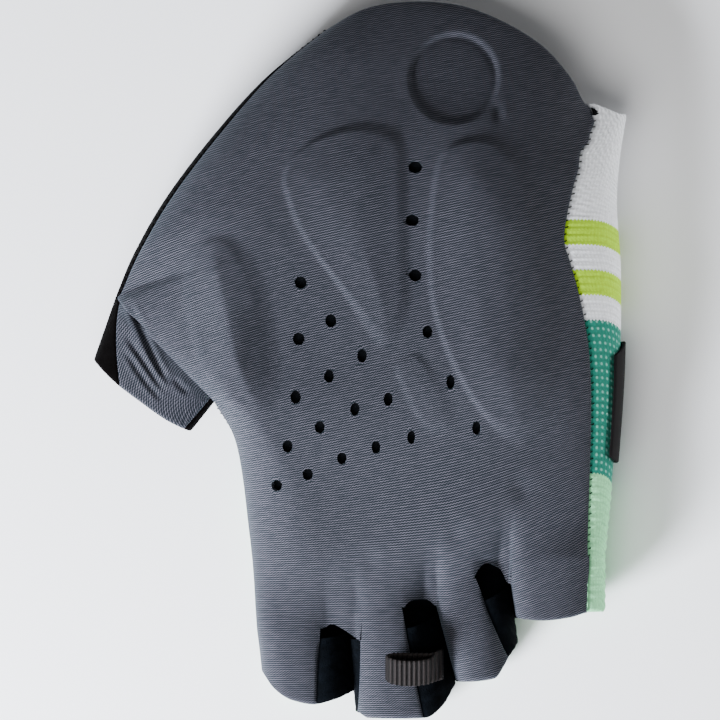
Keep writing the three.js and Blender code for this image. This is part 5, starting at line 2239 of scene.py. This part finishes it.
@dataclass
class PullLoop:
    """The pull-off loop: a ribbon folded back on itself over the middle finger's palm face.

    The section runs from the sewn end under the loop to its fold, and back over the top. Its places
    are how far they are from the sewn end, towards the thumb, and how high over the finger.
    """

    width: float = 8.0
    thickness: float = 0.8
    tilt: float = 0.62
    rib_step: float = 1.2
    rib_height: float = 0.13
    sewn_pixel: Pair = (441, 663.5)
    fold_pixel: Pair = (386, 661.5)
    sewn_level: float = 19.4
    fold_level: float = 24.0
    section: Pairs = (
        (0, 0.2), (2.7, 0.4), (6.4, 0.5), (10, 0.7), (12.5, 1.0), (13.8, 2.0), (13.3, 3.3), (11.6, 4.2),
        (8.6, 4.6), (5.4, 4.2), (2.7, 3.2), (0.9, 1.8), (0.1, 1.1),
    )

    def path(self, share: Array) -> Array:
        """The ribbon's middle line, ribbed by a cosine along it.

        Args:
            share: Shares from the sewn end to the free one.

        Returns:
            How far each point is from the sewn end, and how high it stands.
        """
        line = outline(np.array(self.section))(share)
        run = run_along(line, 0)
        slope = unit(np.gradient(line, axis=0))
        outward = np.stack([slope[:, 1], -slope[:, 0]], axis=-1)
        return line + outward * (self.rib_height * np.cos(2 * np.pi * run / self.rib_step))[:, None]

    def build(self, finishes: Finishes) -> None:
        """Makes the ribbon as a closed shell, tilted so that its wrist side stands up.

        Args:
            finishes: The glove's materials.
        """
        fold, sewn = from_picture([self.fold_pixel, self.sewn_pixel])
        line = self.path(np.linspace(0, 1, 320))
        lean = (line[:, :1] / (sewn[0] - fold[0])).clip(0, 1)
        across = np.linspace(-self.width / 2, self.width / 2, 26)[None, :]
        turn = self.tilt * smooth(lean, -0.1, 0.2)
        high = line[:, 1:]
        x = np.broadcast_to(sewn[0] - line[:, :1], (len(line), across.size))
        y = mix(sewn[1], fold[1], lean) + across * np.cos(turn) - high * np.sin(turn)
        base = mix(self.sewn_level, self.fold_level, bow(1 - lean, 2.0)) + 0.3 * self.width * np.sin(turn)
        z = base + across * np.sin(turn) + high * np.cos(turn)
        points = np.stack([x, y, z], axis=-1)
        outward = unit(np.cross(np.gradient(points, axis=0), np.gradient(points, axis=1)))
        run = np.broadcast_to(run_along(line, 0)[:, None], x.shape)
        weave = np.stack([run, run_along(points, 1)], axis=-1)
        piece = shell("pull_loop_ribbon", ClothGrid(points, outward, weave, self.thickness))
        settle(piece, Body.LOOP, Slot.RIBBON, finishes.ribbon, "pull_loop")


@dataclass(frozen=True)
class Lamp:
    """A soft rectangular light: its place and size in metres, its power in watts and its colour."""

    name: str
    place: Triple
    size: Pair
    power: float
    colour: str = "#ffffff"


@dataclass
class Studio:
    """The camera straight above the glove, a plain pale floor and soft light from the thumb side."""

    lens: float = 600.0
    sensor: float = 36.0
    level: float = 0.016
    view: float = 0.18
    floor_reach: float = 3000.0
    lamps: tuple[Lamp, ...] = (
        Lamp("key", (-0.39, -0.44, 0.28), (0.25, 0.25), 24.4, "#f2f6ff"),
        Lamp("top", (-0.2, -0.4, 1.0), (0.7, 0.7), 9.2),
        Lamp("rim", (0.32, 0.03, 0.014), (0.3, 0.05), 1.05),
    )

    def camera(self) -> None:
        """Makes the camera, with the picture's 180 millimetres across its frame."""
        data = bpy.data.cameras.new("camera")
        data.lens = self.lens
        data.sensor_width = self.sensor
        data.clip_end = 50
        camera = bpy.data.objects.new("camera", data)
        camera.location = (0, 0, self.level + self.view * self.lens / self.sensor)
        bpy.context.scene.collection.objects.link(camera)
        bpy.context.scene.camera = camera

    def light(self, lamp: Lamp) -> None:
        """Makes a soft light that looks at the glove.

        Args:
            lamp: Its place, size, power and colour.
        """
        data = bpy.data.lights.new(lamp.name, "AREA")
        data.shape = "RECTANGLE"
        data.size, data.size_y = lamp.size
        data.energy = lamp.power
        data.color = linear(lamp.colour)[:3]
        holder = bpy.data.objects.new(lamp.name, data)
        holder.location = lamp.place
        holder.rotation_euler = (-Vector(lamp.place)).to_track_quat("-Z", "Y").to_euler()
        bpy.context.scene.collection.objects.link(holder)

    def floor(self) -> None:
        """Makes the floor."""
        corners = np.array([[-1, -1, 0], [1, -1, 0], [1, 1, 0], [-1, 1, 0]]) * self.floor_reach
        piece = mesh_object("floor", corners, np.array([[0, 1, 2, 3]]))
        material, add = new_material("pale_board")
        shader = add("BsdfPrincipled", {"Base Color": linear("#fbfbfc"), "Roughness": 0.9})
        add("OutputMaterial", {"Surface": shader})
        piece.data.materials.append(material)

    def build(self) -> None:
        """Makes the camera, the lights, the world and the floor."""
        self.camera()
        self.floor()
        for lamp in self.lamps:
            self.light(lamp)
        world = bpy.data.worlds.new("studio")
        world.use_nodes = True
        backdrop = world.node_tree.nodes["Background"]
        backdrop.inputs["Color"].default_value = linear("#f3f6fa")
        backdrop.inputs["Strength"].default_value = 0.1
        bpy.context.scene.world = world


def main() -> None:
    """Builds the glove piece by piece."""
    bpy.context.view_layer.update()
    Studio().build()
    finishes = Finishes()
    form = HandForm()
    relief = PalmRelief()
    palm = Palm(form, relief, Weave())
    structure = KnitStructure()
    palm.build(finishes)
    InnerLayers(form, relief).build(finishes)
    KnitBack(form, structure).build(finishes)
    for finger in form.fingers:
        FingerStub(form, finger, palm, structure).build(finishes)
    Webs(form).build(finishes)
    ThumbStub(form, palm).build(finishes)
    Seams(form).build(finishes)
    SideLabel(form).build(finishes)
    PullLoop().build(finishes)


if __name__ == "__main__":
    main()
